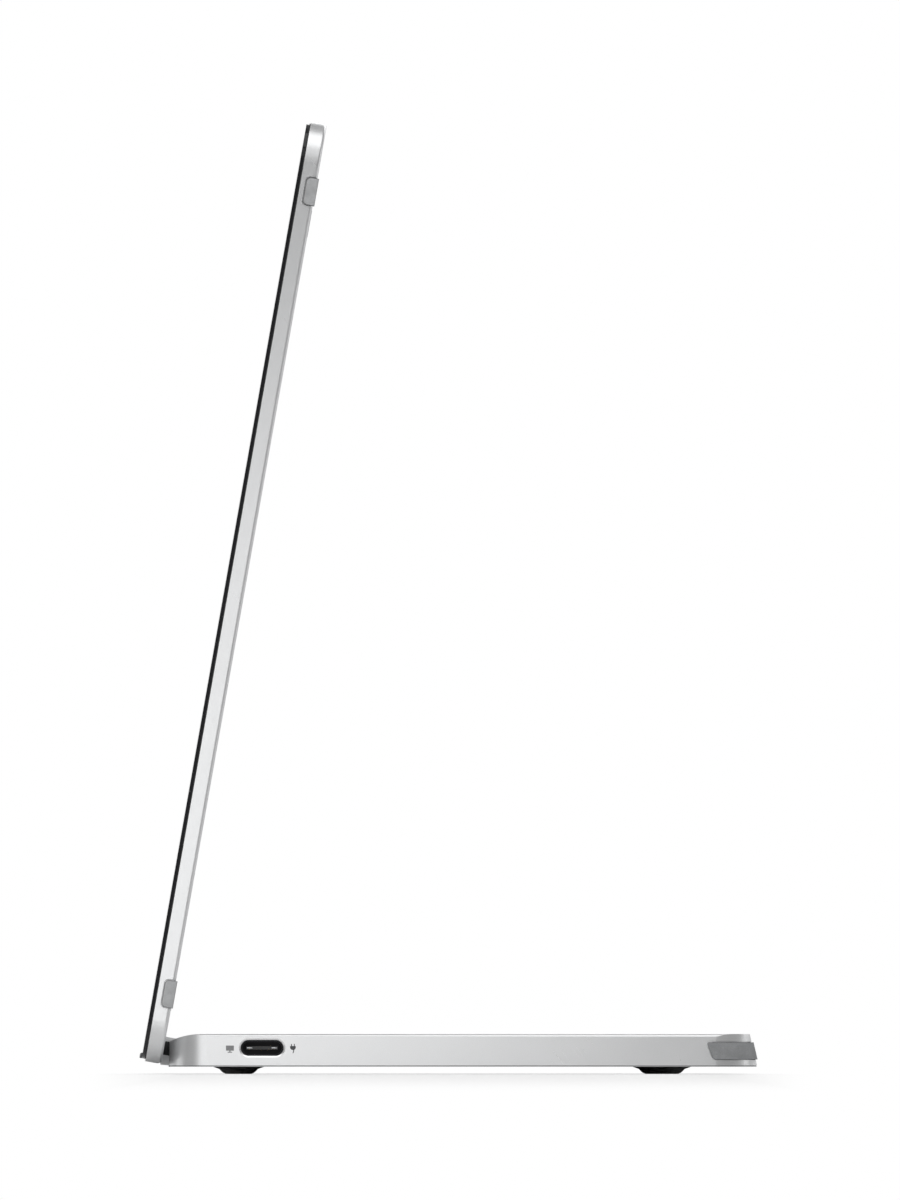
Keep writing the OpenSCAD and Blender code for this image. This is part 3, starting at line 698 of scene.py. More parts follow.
@dataclass(frozen=True)
class Plating(Finish):
    """Thin gold or nickel plating with wipe marks along its fingers."""

    tones: Pair = (0.88, 1.08)
    roughness: float = 0.22
    wipe: Triple = mm(1.2, 0.04, 0.2)
    wipe_band: Pair = (0.35, 0.65)
    wipe_rough: float = 0.15

    def mix(self, recipe: Recipe) -> None:
        """Adds the wipe marks.

        Args:
            recipe: Empty recipe of the material.
        """
        wipe = recipe.noise(self.wipe, 1.0)
        recipe.surface(
            {
                "Base Color": self.shades(recipe, wipe.step(*self.wipe_band)),
                "Metallic": 1.0,
                "Roughness": self.roughness + (wipe - 0.5) * self.wipe_rough,
            }
        )


@dataclass(frozen=True)
class PrintedInk(Finish):
    """Pad-printed ink, a little uneven at its grain."""

    tones: Pair = (0.85, 1.25)
    roughness: float = 0.5
    grain: float = 0.09 * MM
    grain_band: Pair = (0.3, 0.75)
    grain_rough: float = 0.15

    def mix(self, recipe: Recipe) -> None:
        """Adds the grain.

        Args:
            recipe: Empty recipe of the material.
        """
        grain = recipe.noise(self.grain)
        tone = self.shades(recipe, grain.step(*self.grain_band))
        recipe.surface(
            {"Base Color": tone, "Roughness": self.roughness + grain * self.grain_rough}
        )


# ---------- mesh work ----------


ALONG = 0.9
FLAT = 0.98
NEAR = 1e-6
ON_PLANE = 1e-7
MERGE = 1e-8
SHADED_SHARP = 38.0


class Shape:
    """A bmesh under construction.

    ALONG and FLAT are the least cosines at which a direction counts as an axis's, roughly or
    closely. SHADED_SHARP is the angle, in degrees, past which an edge isn't shaded smoothly.
    """

    def __init__(self) -> None:
        """Starts empty."""
        self.bm = bmesh.new()

    @classmethod
    def block(cls, low: Triple, high: Triple) -> "Shape":
        """Box between two corners, as a start for cuts and rounds.

        Args:
            low: Lowest corner.
            high: Highest corner.

        Returns:
            The shape.
        """
        shape = cls()
        lowest, highest = Vector(low), Vector(high)
        scale = Matrix.Diagonal((*(highest - lowest), 1.0))
        middle = Matrix.Translation((lowest + highest) / 2)
        bmesh.ops.create_cube(shape.bm, size=1.0, matrix=middle @ scale)
        return shape

    @classmethod
    def disc(cls, radius: float, segments: int) -> "Shape":
        """Flat disc round the origin.

        Args:
            radius: Radius.
            segments: Corners round the rim.

        Returns:
            The shape.
        """
        shape = cls()
        bmesh.ops.create_circle(shape.bm, cap_ends=True, radius=radius, segments=segments)
        return shape

    @classmethod
    def pill(cls, length: float, height: float, segments: int) -> "Shape":
        """Flat pill round the origin, lying along X.

        Args:
            length: Whole length.
            height: Whole height.
            segments: Corners round both ends together.

        Returns:
            The shape.
        """
        half_step = math.pi / segments
        shape = cls.disc(height / 2 / math.cos(half_step), segments)
        shape.move(Matrix.Rotation(half_step, 4, "Z"))
        for sign in (-1, 1):
            end = [v for v in shape.bm.verts if v.co.x * sign > 0]
            bmesh.ops.translate(shape.bm, vec=(sign * (length - height) / 2, 0, 0), verts=end)
        return shape

    def faces(self, test: Callable[[bmesh.types.BMFace], bool]) -> Faces:
        """Faces that pass a test, which may ask for their normals."""
        self.bm.normal_update()
        return [face for face in self.bm.faces if test(face)]

    def drop(self, faces: Faces) -> "Shape":
        """Deletes faces."""
        bmesh.ops.delete(self.bm, geom=faces, context="FACES")
        return self

    def pull(self, way: Triple, faces: Faces) -> "Shape":
        """Extrudes a patch of faces.

        Args:
            way: Direction and distance.
            faces: Faces of the patch.

        Returns:
            This shape.
        """
        made = bmesh.ops.extrude_face_region(self.bm, geom=faces)["geom"]
        verts = [g for g in made if isinstance(g, bmesh.types.BMVert)]
        bmesh.ops.translate(self.bm, vec=way, verts=verts)
        return self

    def rise(self, height: float) -> "Shape":
        """Gives a flat shape a height along Z."""
        return self.pull((0, 0, height), list(self.bm.faces))

    def inset(self, faces: Faces, width: float, depth: float = 0.0) -> "Shape":
        """Shrinks a patch of faces inside a ring.

        Args:
            faces: Faces of the patch.
            width: Width of the ring.
            depth: Move of the patch along its normal.

        Returns:
            This shape.
        """
        bmesh.ops.inset_region(
            self.bm, faces=faces, thickness=width, depth=depth, use_boundary=True
        )
        return self

    def rim(self, width: float, faces: Faces) -> "Shape":
        """Marks all but the inside of a patch of faces, for finishes that paint shade there.

        Args:
            width: Width of the marked border of the patch.
            faces: Faces of the patch.

        Returns:
            This shape.
        """
        layer = self.bm.verts.layers.float.new(PAINTED_SHADE_RIM)
        self.inset(faces, width)
        for vertex in self.bm.verts:
            vertex[layer] = 1.0
        for face in faces:
            for vertex in face.verts:
                vertex[layer] = 0.0
        return self

    def sharp_edges(self, angle: float = 30.0, test: Callable | None = None) -> list:
        """Edges where faces meet at an angle.

        Args:
            angle: Least angle in degrees.
            test: Further condition on an edge.

        Returns:
            The edges.
        """
        self.bm.normal_update()
        least = math.radians(angle)
        meeting = [e for e in self.bm.edges if len(e.link_faces) == 2]
        sharp = [e for e in meeting if e.calc_face_angle(0.0) > least]
        return [e for e in sharp if test is None or test(e)]

    def soften(self, radius: float, segments: int, edges: list | None = None) -> "Shape":
        """Rounds edges.

        Args:
            radius: Radius of the round.
            segments: Faces across the round.
            edges: Edges to round, or all sharp ones.

        Returns:
            This shape.
        """
        bmesh.ops.bevel(
            self.bm,
            geom=edges if edges is not None else self.sharp_edges(),
            offset=radius,
            offset_type="OFFSET",
            affect="EDGES",
            segments=segments,
            profile=0.5,
            material=-1,
            clamp_overlap=True,
        )
        return self

    def split(self, point: Triple, normal: Triple, drop_outer: bool = False) -> list:
        """Splits faces along a plane.

        Args:
            point: Point of the plane.
            normal: Normal of the plane.
            drop_outer: Whether what lies beyond the plane is removed.

        Returns:
            The new edges on the plane.
        """
        made = bmesh.ops.bisect_plane(
            self.bm,
            geom=[*self.bm.verts, *self.bm.edges, *self.bm.faces],
            dist=ON_PLANE,
            plane_co=point,
            plane_no=normal,
            clear_outer=drop_outer,
        )["geom_cut"]
        return [g for g in made if isinstance(g, bmesh.types.BMEdge)]

    def cut(self, point: Triple, normal: Triple) -> "Shape":
        """Removes what lies beyond a plane and closes the cut."""
        bmesh.ops.edgenet_fill(self.bm, edges=self.split(point, normal, drop_outer=True))
        return self

    def outward(self) -> "Shape":
        """Turns the faces outwards."""
        bmesh.ops.recalc_face_normals(self.bm, faces=self.bm.faces)
        return self

    def skin(self, thickness: float) -> "Shape":
        """Gives an open surface a thickness."""
        bmesh.ops.solidify(self.bm, geom=list(self.bm.faces), thickness=thickness)
        return self

    def move(self, matrix: Matrix) -> "Shape":
        """Applies a matrix."""
        bmesh.ops.transform(self.bm, matrix=matrix, verts=self.bm.verts)
        return self

    def shift(self, x: float, y: float, turn: float = 0.0) -> "Shape":
        """Turns in its own plane by degrees, then moves there."""
        spin = Matrix.Rotation(math.radians(turn), 4, "Z")
        return self.move(Matrix.Translation((x, y, 0)) @ spin)

    def to_side(self, side: Side) -> "Shape":
        """Takes a shape drawn for the right to one of the sides."""
        return self.move(Matrix.Diagonal((side.value, 1, 1, 1)))

    def join(self, *others: "Shape") -> "Shape":
        """Takes other shapes in.

        Args:
            others: Shapes to add.

        Returns:
            This shape.
        """
        for other in others:
            passing = bpy.data.meshes.new("passing")
            other.bm.to_mesh(passing)
            self.bm.from_mesh(passing)
            other.bm.free()
            bpy.data.meshes.remove(passing)
        return self

    def piece(self, name: str, body: Body, finish: Finish, slot: str) -> bpy.types.Object:
        """Turns the shape into a finished piece of the object.

        Args:
            name: Name of the piece.
            body: Body that it moves with.
            finish: Finish of its surface.
            slot: Not used.

        Returns:
            The piece.
        """
        bmesh.ops.remove_doubles(self.bm, verts=self.bm.verts, dist=MERGE)
        self.outward()
        for face in self.bm.faces:
            face.smooth = True
        for edge in self.sharp_edges(SHADED_SHARP):
            edge.smooth = False
        mesh = bpy.data.meshes.new(name)
        self.bm.to_mesh(mesh)
        self.bm.free()
        mesh.materials.append(finish.material())
        made = bpy.data.objects.new(name, mesh)
        bpy.context.scene.collection.objects.link(made)
        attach(made, body.value)
        LOG.info("piece %s on %s, %d faces", name, body.value, len(mesh.polygons))
        return made

    def stand_in(self, node: str, body: Body, finish: Finish) -> None:
        """Turns the shape into the piece that is shown in place of a node."""
        made = self.piece(f"soft_{node}", body, finish, node)
        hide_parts(node)


def side_plane(side: Side, out: float, along: float, up: float) -> Matrix:
    """Placement of a flat shape on a side of the object, read from outside.

    Args:
        side: Side of the object.
        out: Distance of the plane from the middle.
        along: Y of the shape's origin.
        up: Z of the shape's origin.

    Returns:
        The matrix.
    """
    sign = side.value
    turn = Matrix(((0, 0, sign, 0), (sign, 0, 0, 0), (0, 1, 0, 0), (0, 0, 0, 1)))
    return Matrix.Translation((sign * out, along, up)) @ turn


def dress(finish: Finish, *nodes: str) -> None:
    """Gives nodes of the frame a finish.

    Args:
        finish: Finish of their surfaces.
        nodes: Names of the nodes. One that ends in an underscore stands for both sides' nodes.
    """
    for node in nodes:
        names = [node + side.tag for side in Side] if node.endswith("_") else [node]
        for name in names:
            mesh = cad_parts[name].data
            mesh.materials.clear()
            mesh.materials.append(finish.material())
            LOG.info("node %s in %s", name, finish.name)


# ---------- finishes of this object ----------

SILVER = Anodised("silver_anodised", (0.7, 0.705, 0.71))
# Darker copy of the silver: painted shade for the bottom cover, which lies in the shadow under the
# base.
SHADED_UNDERSIDE = Anodised("shaded_underside_anodised", (0.36, 0.365, 0.37), roughness=0.42, metal=0.6)
KEY_SILVER = Anodised("key_anodised", (0.66, 0.665, 0.67), roughness=0.3)
BUMPER_GREY = Rubber("bumper_rubber", (0.37, 0.375, 0.38))
INSERT_GREY = Rubber("insert_rubber", (0.235, 0.24, 0.245), roughness=0.62)
FOOT_GREY = Rubber("foot_rubber", (0.4, 0.403, 0.407), stipple=0.3 * MM)
LIP_GREY = Rubber("lip_rubber", (0.12, 0.122, 0.125), roughness=0.6)
CAP_BLACK = Moulded("cap_plastic", (0.022, 0.022, 0.024), roughness=0.42)
FRAME_BLACK = Moulded("frame_plastic", (0.05, 0.05, 0.055))
CHIP_BLACK = Moulded("chip_plastic", (0.04, 0.04, 0.045), roughness=0.6)
TONGUE_BLACK = Moulded("tongue_plastic", (0.02, 0.02, 0.022), roughness=0.35)
HINGE_STEEL = Steel("hinge_steel", (0.5, 0.51, 0.53))
SHAFT_STEEL = Steel("shaft_steel", (0.66, 0.67, 0.69), roughness=0.2)
CAN_STEEL = Steel("can_steel", (0.72, 0.73, 0.75), roughness=0.25)
SCREW_STEEL = Steel("screw_steel", (0.28, 0.28, 0.3), roughness=0.35)
PORT_STEEL = Steel("port_steel", (0.025, 0.025, 0.027), roughness=0.4, streak=mm(0.05, 3, 3))
TAPE_BLACK = FoamTape("foam_tape", (0.02, 0.02, 0.021))
CELL_DARK = Optical("panel_cell", (0.05, 0.05, 0.06), roughness=0.15)
FILM_WHITE = Optical("film_layer", (0.86, 0.88, 0.9), pitch=0.5 * MM)
GUIDE_CLEAR = Optical("guide_layer", (0.8, 0.85, 0.88), pitch=0.9 * MM, roughness=0.1)
MIRROR_WHITE = Optical("reflector_layer", (0.9, 0.9, 0.91), pitch=1.5 * MM, roughness=0.25)
DIODES = DiodeStrip("diode_strip", (0.88, 0.86, 0.8))
BOARD_GREEN = SolderMask("board_mask", (0.02, 0.13, 0.06))
BUNDLE_BLACK = CableTape("bundle_tape", (0.05, 0.05, 0.055))
GOLD = Plating("contact_gold", (0.9, 0.68, 0.32))
BRIGHT_EDGE = Plating("milled_edge", (0.94, 0.94, 0.95), roughness=0.42)
PRINT_GREY = PrintedInk("print_grey", (0.2, 0.2, 0.205))
PRINT_DARK = PrintedInk("print_dark", (0.06, 0.06, 0.065))
GLASS_BLACK: Triple = (0.018, 0.019, 0.022)


# ---------- sub-assemblies ----------


@dataclass(frozen=True)
class Hinge:
    """Hinge between the display and the base: its axis, and the lean of the display at rest."""

    along: float = -56.66 * MM
    up: float = 4.58 * MM
    lean: float = math.radians(10)

    @property
    def place(self) -> Matrix:
        """Matrix from the display's own frame on the hinge axis to the world."""
        move = Matrix.Translation((0, self.along, self.up))
        return move @ Matrix.Rotation(-self.lean, 4, "X")

    def dress(self) -> None:
        """Finishes the nodes of the hinge."""
        dress(SILVER, "hinge_cover")
        dress(CAP_BLACK, "hinge_cap_")
        dress(HINGE_STEEL, "hinge_leaf_", "hinge_bracket_")
        dress(SHAFT_STEEL, "hinge_shaft_", "friction_washers_")
        dress(CAN_STEEL, "shaft_nut_")
        dress(SCREW_STEEL, "leaf_screws_", "bracket_screws_")


@dataclass
class Display:
    """Leaning display: shell, glass, panel layers and bumpers."""

    hinge: Hinge = Hinge()
    width: float = 322 * MM
    height: float = 204.5 * MM
    drop: float = 3.2 * MM
    glass_front: float = -8.83 * MM
    glass_inset: float = 0.5 * MM
    back: float = -4.48 * MM
    view: Pair = mm(310, 174.4)
    view_middle: float = 109 * MM
    bumper_front: float = 1.9 * MM
    bumper_len: float = 6.3 * MM
    bumper_inset: float = 15 * MM
    bumper_out: float = 0.45 * MM
    bumper_seat: float = 1.1 * MM
    bumper_proud: float = 0.35 * MM
    bumper_gap: float = 0.2 * MM
    # Width of the painted shade along the bumper's outline.
    bumper_shade_rim: float = 0.2 * MM
    bumper_corner: float = 1 * MM
    bumper_round: float = 0.22 * MM
    pad_seat: float = 0.4 * MM
    pad_width: float = 6 * MM

    def bumper(self, side: Side, up: float, node: str) -> None:
        """Makes one rubber bumper that wraps round the back edge.

        Args:
            side: Side of the display.
            up: Height of its middle above the hinge axis.
            node: Node that it stands for.
        """
        half = self.bumper_len / 2 - self.bumper_gap
        inner = self.width / 2 - self.bumper_seat
        outer = self.width / 2 + self.bumper_out
        front = self.glass_front + self.bumper_front + self.bumper_gap
        back = self.back + self.bumper_proud
        seat = self.back - self.pad_seat
        shape = Shape.block((inner, front, up - half), (outer, back, up + half))
        shape.split((0, seat, 0), (0, 1, 0))
        wall = shape.faces(lambda f: f.normal.x < -ALONG and f.calc_center_median().y > seat)
        shape.pull((outer - self.pad_width - inner, 0, 0), wall)
        bm = shape.bm
        bmesh.ops.dissolve_limit(bm, angle_limit=0.01, verts=bm.verts, edges=bm.edges)

        def turning(edge: bmesh.types.BMEdge) -> bool:
            """Whether an edge turns a corner of the outline.

            Args:
                edge: Edge of the bumper.

            Returns:
                True for the corners of its side face and of its pad.
            """
            run = (edge.verts[1].co - edge.verts[0].co).normalized()
            middle = (edge.verts[0].co + edge.verts[1].co) / 2
            side_corner = abs(run.x) > ALONG and middle.y < seat
            pad_corner = abs(run.y) > ALONG and middle.x < inner
            return side_corner or pad_corner

        shape.soften(self.bumper_corner, 8, shape.sharp_edges(test=turning))
        shape.soften(self.bumper_round, 3)
        # Marks the bumper's outline, where its finish paints the shade of the gap round it.
        shape.rim(self.bumper_shade_rim, shape.faces(lambda f: max(f.normal.x, f.normal.y) > FLAT))
        shape.to_side(side).move(self.hinge.place)
        shape.stand_in(node, Body.DISPLAY, BUMPER_GREY)

    def build(self) -> None:
        """Makes the four bumpers."""
        heights = {
            "upper": self.height - self.drop - self.bumper_inset,
            "lower": self.bumper_inset - self.drop,
        }
        for side in Side:
            for row, up in heights.items():
                self.bumper(side, up, f"bumper_{row}_{side.tag}")

    def dress(self) -> None:
        """Finishes the nodes of the display."""
        middle = self.hinge.place @ Vector((0, 0, self.view_middle))
        glass = CoverGlass(
            "cover_glass_dark",
            GLASS_BLACK,
            centre=tuple(middle),
            turn=(-self.hinge.lean, 0.0, 0.0),
            view=self.view,
            half_width=self.width / 2 - self.glass_inset,
        )
        dress(glass, "cover_glass")
        dress(SILVER, "display_shell")
        dress(TAPE_BLACK, "glass_adhesive")
        dress(CELL_DARK, "lcd_cell")
        dress(FILM_WHITE, "film_stack")
        dress(GUIDE_CLEAR, "light_guide")
        dress(MIRROR_WHITE, "reflector")
        dress(FRAME_BLACK, "panel_frame")
        dress(DIODES, "led_strip")
        dress(BOARD_GREEN, "driver_board")
        dress(CHIP_BLACK, "driver_chips")
        dress(LIP_GREY, "front_lip")
        dress(BUNDLE_BLACK, "display_cable")
        dress(BUMPER_GREY, "bumper_upper_", "bumper_lower_")


@dataclass
class Base:
    """Base with its feet and rear inserts."""

    width: float = 320 * MM
    length: float = 126 * MM
    thickness: float = 7 * MM
    hinge_inset: float = 3.2 * MM
    slant: float = 1.7 * MM
    rear_corner: float = 9 * MM
    insert_low: float = 3.01 * MM
    insert_height: float = 3.9 * MM
    insert_len: float = 10.4 * MM
    insert_proud: float = 0.4 * MM
    insert_depth: float = 0.9 * MM
    insert_reach: float = 16 * MM
    insert_spare: float = 5 * MM
    insert_lean: float = 0.4
    insert_round: float = 1.1 * MM
    insert_edge: float = 0.16 * MM
    insert_gap: float = 0.12 * MM
    foot_height: float = 1.56 * MM
    foot_len: float = 160 * MM
    foot_widths: Triple = mm(10.5, 8, 6)
    foot_flange: float = 0.06 * MM
    foot_step: float = 0.44 * MM
    foot_insets: Pair = mm(15.2, 18.5)
    foot_round: float = 0.7 * MM

    @property
    def low(self) -> float:
        """Y of the front end of the base."""
        return Hinge.along - self.hinge_inset

    @property
    def high(self) -> float:
        """Y of the rear end of the base."""
        return self.low + self.length

    def insert(self, side: Side) -> None:
        """Makes the rubber insert round one rear corner.

        Args:
            side: Side of the base.
        """
        out = self.width / 2 + self.insert_proud
        rear = self.high + self.insert_proud
        low = self.insert_low + self.insert_gap
        top = self.insert_low + self.insert_height - self.insert_gap
        start = self.high - self.insert_len + self.insert_gap
        inner = self.width / 2 - self.insert_reach

        def upright(edge: bmesh.types.BMEdge) -> bool:
            """Whether an edge is the upright one at the corner of the base."""
            return all(v.co.x > out - NEAR and v.co.y > rear - NEAR for v in edge.verts)

        def leading(edge: bmesh.types.BMEdge) -> bool:
            """Whether an edge runs across the front end of the insert."""
            across = abs(edge.verts[0].co.x - edge.verts[1].co.x)
            return across > MM and all(v.co.y < start + 2 * MM for v in edge.verts)

        shape = Shape.block((inner, start - self.insert_spare, low), (out, rear, top))
        corner = shape.sharp_edges(test=upright)
        shape.soften(self.rear_corner + self.insert_proud, 28, corner)
        shape.cut((0, start, (low + top) / 2), (0, -1, -self.insert_lean))
        shape.soften(self.insert_round, 10, shape.sharp_edges(test=leading))
        shape.cut((0, rear, self.foot_height), (0, 1, self.slant / self.thickness))
        shape.outward()
        shape.drop(shape.faces(lambda f: f.normal.x < 0.01 and f.normal.y < 0.5))
        shape.skin(self.insert_depth)
        shape.soften(self.insert_edge, 3, shape.sharp_edges(angle=50.0))
        shape.to_side(side).stand_in(f"rear_insert_{side.tag}", Body.BASE, INSERT_GREY)

    def foot(self, node: str, along: float) -> None:
        """Makes one foot: a long strip with a thin flange and a domed tread.

        Args:
            node: Node that it stands for.
            along: Y of its middle.
        """
        flange, body, tip = self.foot_widths
        shape = Shape.pill(self.foot_len, flange, 64).rise(self.foot_flange)
        top = shape.faces(lambda f: f.normal.z > ALONG and f.calc_center_median().z > NEAR)
        shape.inset(top, (flange - body) / 2, self.foot_step)
        shape.inset(top, (body - tip) / 2)
        rest = self.foot_height - self.foot_flange - self.foot_step
        bmesh.ops.translate(shape.bm, vec=(0, 0, rest), verts=top[0].verts)
        tread = set(top[0].edges)
        shape.soften(self.foot_round, 6, shape.sharp_edges(25.0, lambda e: e in tread))
        upside_down = Matrix.Rotation(math.pi, 4, "X")
        shape.move(Matrix.Translation((0, along, self.foot_height)) @ upside_down)
        shape.stand_in(node, Body.BASE, FOOT_GREY)

    def build(self) -> None:
        """Makes the inserts and the feet."""
        for side in Side:
            self.insert(side)
        self.foot("foot_hinge", self.low + self.foot_insets[0])
        self.foot("foot_rear", self.high - self.foot_insets[1])

    def dress(self) -> None:
        """Finishes the nodes of the base."""
        dress(SILVER, "base_shell")
        # The bottom cover gets the darker copy of the silver as painted shade.
        dress(SHADED_UNDERSIDE, "bottom_cover")
        dress(BOARD_GREEN, "main_board", "button_board")
        dress(CHIP_BLACK, "board_chips")
        dress(CAN_STEEL, "shield_can")
        dress(BUNDLE_BLACK, "base_cable")
        dress(FOOT_GREY, "foot_hinge", "foot_rear")
        dress(INSERT_GREY, "rear_insert_")
        dress(SCREW_STEEL, "cover_screw_hinge_", "cover_screw_rear_")


@dataclass
class Print:
    """Generic symbols in thin ink, flat round the origin and read from +Z."""

    thick: float = 0.015 * MM
    sunk: float = 0.012 * MM
    edge_round: float = 0.01 * MM
    line: float = 0.2 * MM
    key_line: float = 0.16 * MM
    ray_line: float = 0.128 * MM
    screen: Pair = mm(1.7, 1.1)
    neck: Pair = mm(0.24, 0.25)
    stand_len: float = 1 * MM
    stand_drop: float = 0.33 * MM
    plug_radius: float = 0.62 * MM
    plug_top: float = 0.25 * MM
    tail_len: float = 0.85 * MM
    tail_place: Triple = (0.12 * MM, -0.9 * MM, 75)
    prong_len: float = 0.5 * MM
    prong_place: Pair = mm(0.3, 0.46)
    ring_radius: float = 0.55 * MM
    ring_gap: float = 0.4 * MM
    ray_len: float = 0.3 * MM
    ray_gap: float = 0.28 * MM
    rays: int = 8

    def bar(self, length: float, x: float = 0.0, y: float = 0.0, turn: float = 0.0) -> Shape:
        """Bar with round ends, turned by degrees and moved."""
        return Shape.pill(length, self.line, 16).rise(self.thick).shift(x, y, turn)

    def display(self) -> Shape:
        """Draws a screen on its stand.

        Returns:
            The symbol.
        """
        half_w, half_h = self.screen[0] / 2, self.screen[1] / 2
        screen = Shape.block((-half_w, -half_h, 0), (half_w, half_h, self.thick))
        top = screen.faces(lambda f: f.normal.z > ALONG)
        screen.inset(top, self.line, -self.sunk).soften(self.edge_round, 1)
        neck_half = self.neck[0] / 2
        neck_low = (-neck_half, -half_h - self.neck[1], 0)
        neck = Shape.block(neck_low, (neck_half, -half_h, self.thick))
        return screen.join(neck, self.bar(self.stand_len, 0.0, -half_h - self.stand_drop))

    def plug(self) -> Shape:
        """Draws a plug with two prongs and the start of its cord.

        Returns:
            The symbol.
        """
        body = Shape.disc(self.plug_radius, 28).rise(self.thick)
        body.cut((0, self.plug_top, 0), (0, 1, 0))
        x, y = self.prong_place
        prongs = [self.bar(self.prong_len, sign * x, y, 90) for sign in (-1, 1)]
        return body.join(self.bar(self.tail_len, *self.tail_place), *prongs)

    def power(self) -> Shape:
        """Draws an open ring with a bar.

        Returns:
            The symbol.
        """
        ring = Shape.disc(self.ring_radius, 40)
        inside = list(ring.bm.faces)
        ring.inset(inside, self.key_line).drop(inside)
        ring.drop(ring.faces(lambda f: f.calc_center_median().y > self.ring_gap))
        bar = Shape.pill(self.ring_radius, self.key_line, 16).rise(self.thick)
        return ring.rise(self.thick).join(bar.shift(0, self.ring_gap, turn=90))

    def sun(self, radius: float) -> Shape:
        """Draws a disc with short rays.

        Args:
            radius: Radius of the disc.

        Returns:
            The symbol.
        """
        disc = Shape.disc(radius, 28).rise(self.thick)
        for ray in range(self.rays):
            bar = Shape.pill(self.ray_len, self.ray_line, 12).rise(self.thick)
            bar.shift(radius + self.ray_gap, 0)
            disc.join(bar.shift(0, 0, turn=360 / self.rays * ray))
        return disc


@dataclass
class Port:
    """Round-ended port on one side, with its milled rim, contacts and printed symbols."""

    side: Side
    inset: float = 19.8 * MM
    up: float = 5.59 * MM
    face: float = Base.width / 2
    opening: Pair = mm(9.3, 3.5)
    rim: float = 0.3 * MM
    rim_overlap: float = 0.02 * MM
    rim_depth: float = 0.2 * MM
    rim_thick: float = 0.03 * MM
    rim_proud: float = 0.005 * MM
    tongue: Pair = mm(6.7, 0.7)
    pins: int = 12
    pin_pitch: float = 0.5 * MM
    pin_size: Pair = mm(0.26, 0.024)
    pin_run: Pair = mm(-3.6, -0.35)
    pin_round: float = 0.008 * MM
    wing_inset: float = 0.7 * MM
    wing_size: Pair = mm(1.24, 0.18)
    wing_run: Pair = mm(-3, 0.03)
    wing_round: float = 0.04 * MM
    display_mark: Pair = mm(-6.9, -0.05)
    plug_mark: Pair = mm(6.6, 0.15)

    @property
    def along(self) -> float:
        """Y of the middle of the port."""
        return Base().low + self.inset

    def rim_ring(self) -> None:
        """Makes the bright milled chamfer round the opening."""
        width, height = (length + 2 * self.rim for length in self.opening)
        shape = Shape.pill(width, height, 64)
        inside = list(shape.bm.faces)
        shape.inset(inside, self.rim + self.rim_overlap, -self.rim_depth).drop(inside)
        shape.outward().skin(self.rim_thick)
        shape.move(side_plane(self.side, self.face + self.rim_proud, self.along, self.up))
        shape.piece(f"port_rim_{self.side.tag}", Body.BASE, BRIGHT_EDGE, "base_shell")

    @staticmethod
    def strip(x: float, y: float, size: Pair, run: Pair) -> Shape:
        """Bar of a width and a thickness along the tongue."""
        half_w, half_t = size[0] / 2, size[1] / 2
        return Shape.block((x - half_w, y - half_t, run[0]), (x + half_w, y + half_t, run[1]))

    def contacts(self) -> None:
        """Makes the gold fingers on both faces of the tongue and its mid plate."""
        width, thick = self.tongue
        node = f"port_tongue_{self.side.tag}"
        low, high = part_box(node)
        tip = side_plane(self.side, max(abs(low.x), abs(high.x)), self.along, self.up)
        fingers = Shape()
        for y in (-thick / 2, thick / 2):
            for pin in range(self.pins):
                x = (pin - (self.pins - 1) / 2) * self.pin_pitch
                finger = self.strip(x, y, self.pin_size, self.pin_run)
                fingers.join(finger.soften(self.pin_round, 1))
        fingers.move(tip).piece(f"port_contacts_{self.side.tag}", Body.BASE, GOLD, node)
        plate = Shape()
        for sign in (-1, 1):
            x = sign * (width / 2 - self.wing_inset)
            wing = self.strip(x, 0.0, self.wing_size, self.wing_run)
            plate.join(wing.soften(self.wing_round, 2))
        plate.move(tip).piece(f"port_plate_{self.side.tag}", Body.BASE, CAN_STEEL, node)

    def mark(self, name: str, symbol: Shape, place: Pair, ink: Finish) -> None:
        """Prints a symbol beside the port.

        Args:
            name: Name of the symbol.
            symbol: The symbol.
            place: Its place from the middle of the port.
            ink: Finish of the ink.
        """
        along, up = self.along + place[0], self.up + place[1]
        symbol.move(side_plane(self.side, self.face, along, up))
        symbol.piece(f"symbol_{name}_{self.side.tag}", Body.BASE, ink, "base_shell")

    def build(self) -> None:
        """Makes the fine pieces of the port."""
        self.rim_ring()
        self.contacts()
        self.mark("display", Print().display(), self.display_mark, PRINT_GREY)
        self.mark("plug", Print().plug(), self.plug_mark, PRINT_DARK)

    def dress(self) -> None:
        """Finishes the nodes of the port."""
        dress(PORT_STEEL, f"port_shell_{self.side.tag}")
        dress(TONGUE_BLACK, f"port_tongue_{self.side.tag}")


@dataclass
class Controls:
    """Power and brightness buttons on the left side, with their symbols."""

    up: float = Port.up
    bright_sun: float = 0.36 * MM
    dim_sun: float = 0.22 * MM
    keys: dict[str, Body] = field(
        default_factory=lambda: {
            "power": Body.POWER,
            "bright_up": Body.BRIGHT_UP,
            "bright_down": Body.BRIGHT_DOWN,
        }
    )

    def build(self) -> None:
        """Prints a symbol on each button."""
        ink = Print()
        symbols = {
            "power": ink.power(),
            "bright_up": ink.sun(self.bright_sun),
            "bright_down": ink.sun(self.dim_sun),
        }
        for key, body in self.keys.items():
            low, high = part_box(f"button_{key}")
            out = max(abs(low.x), abs(high.x))
            symbols[key].move(side_plane(Side.LEFT, out, (low.y + high.y) / 2, self.up))
            symbols[key].piece(f"symbol_{key}", body, PRINT_DARK, f"button_{key}")

    def dress(self) -> None:
        """Finishes the buttons and their switches."""
        for key in self.keys:
            dress(KEY_SILVER, f"button_{key}")
            dress(CHIP_BLACK, f"switch_{key}")


# ---------- studio ----------

HEART: Triple = (0.0, 0.0, 0.05)


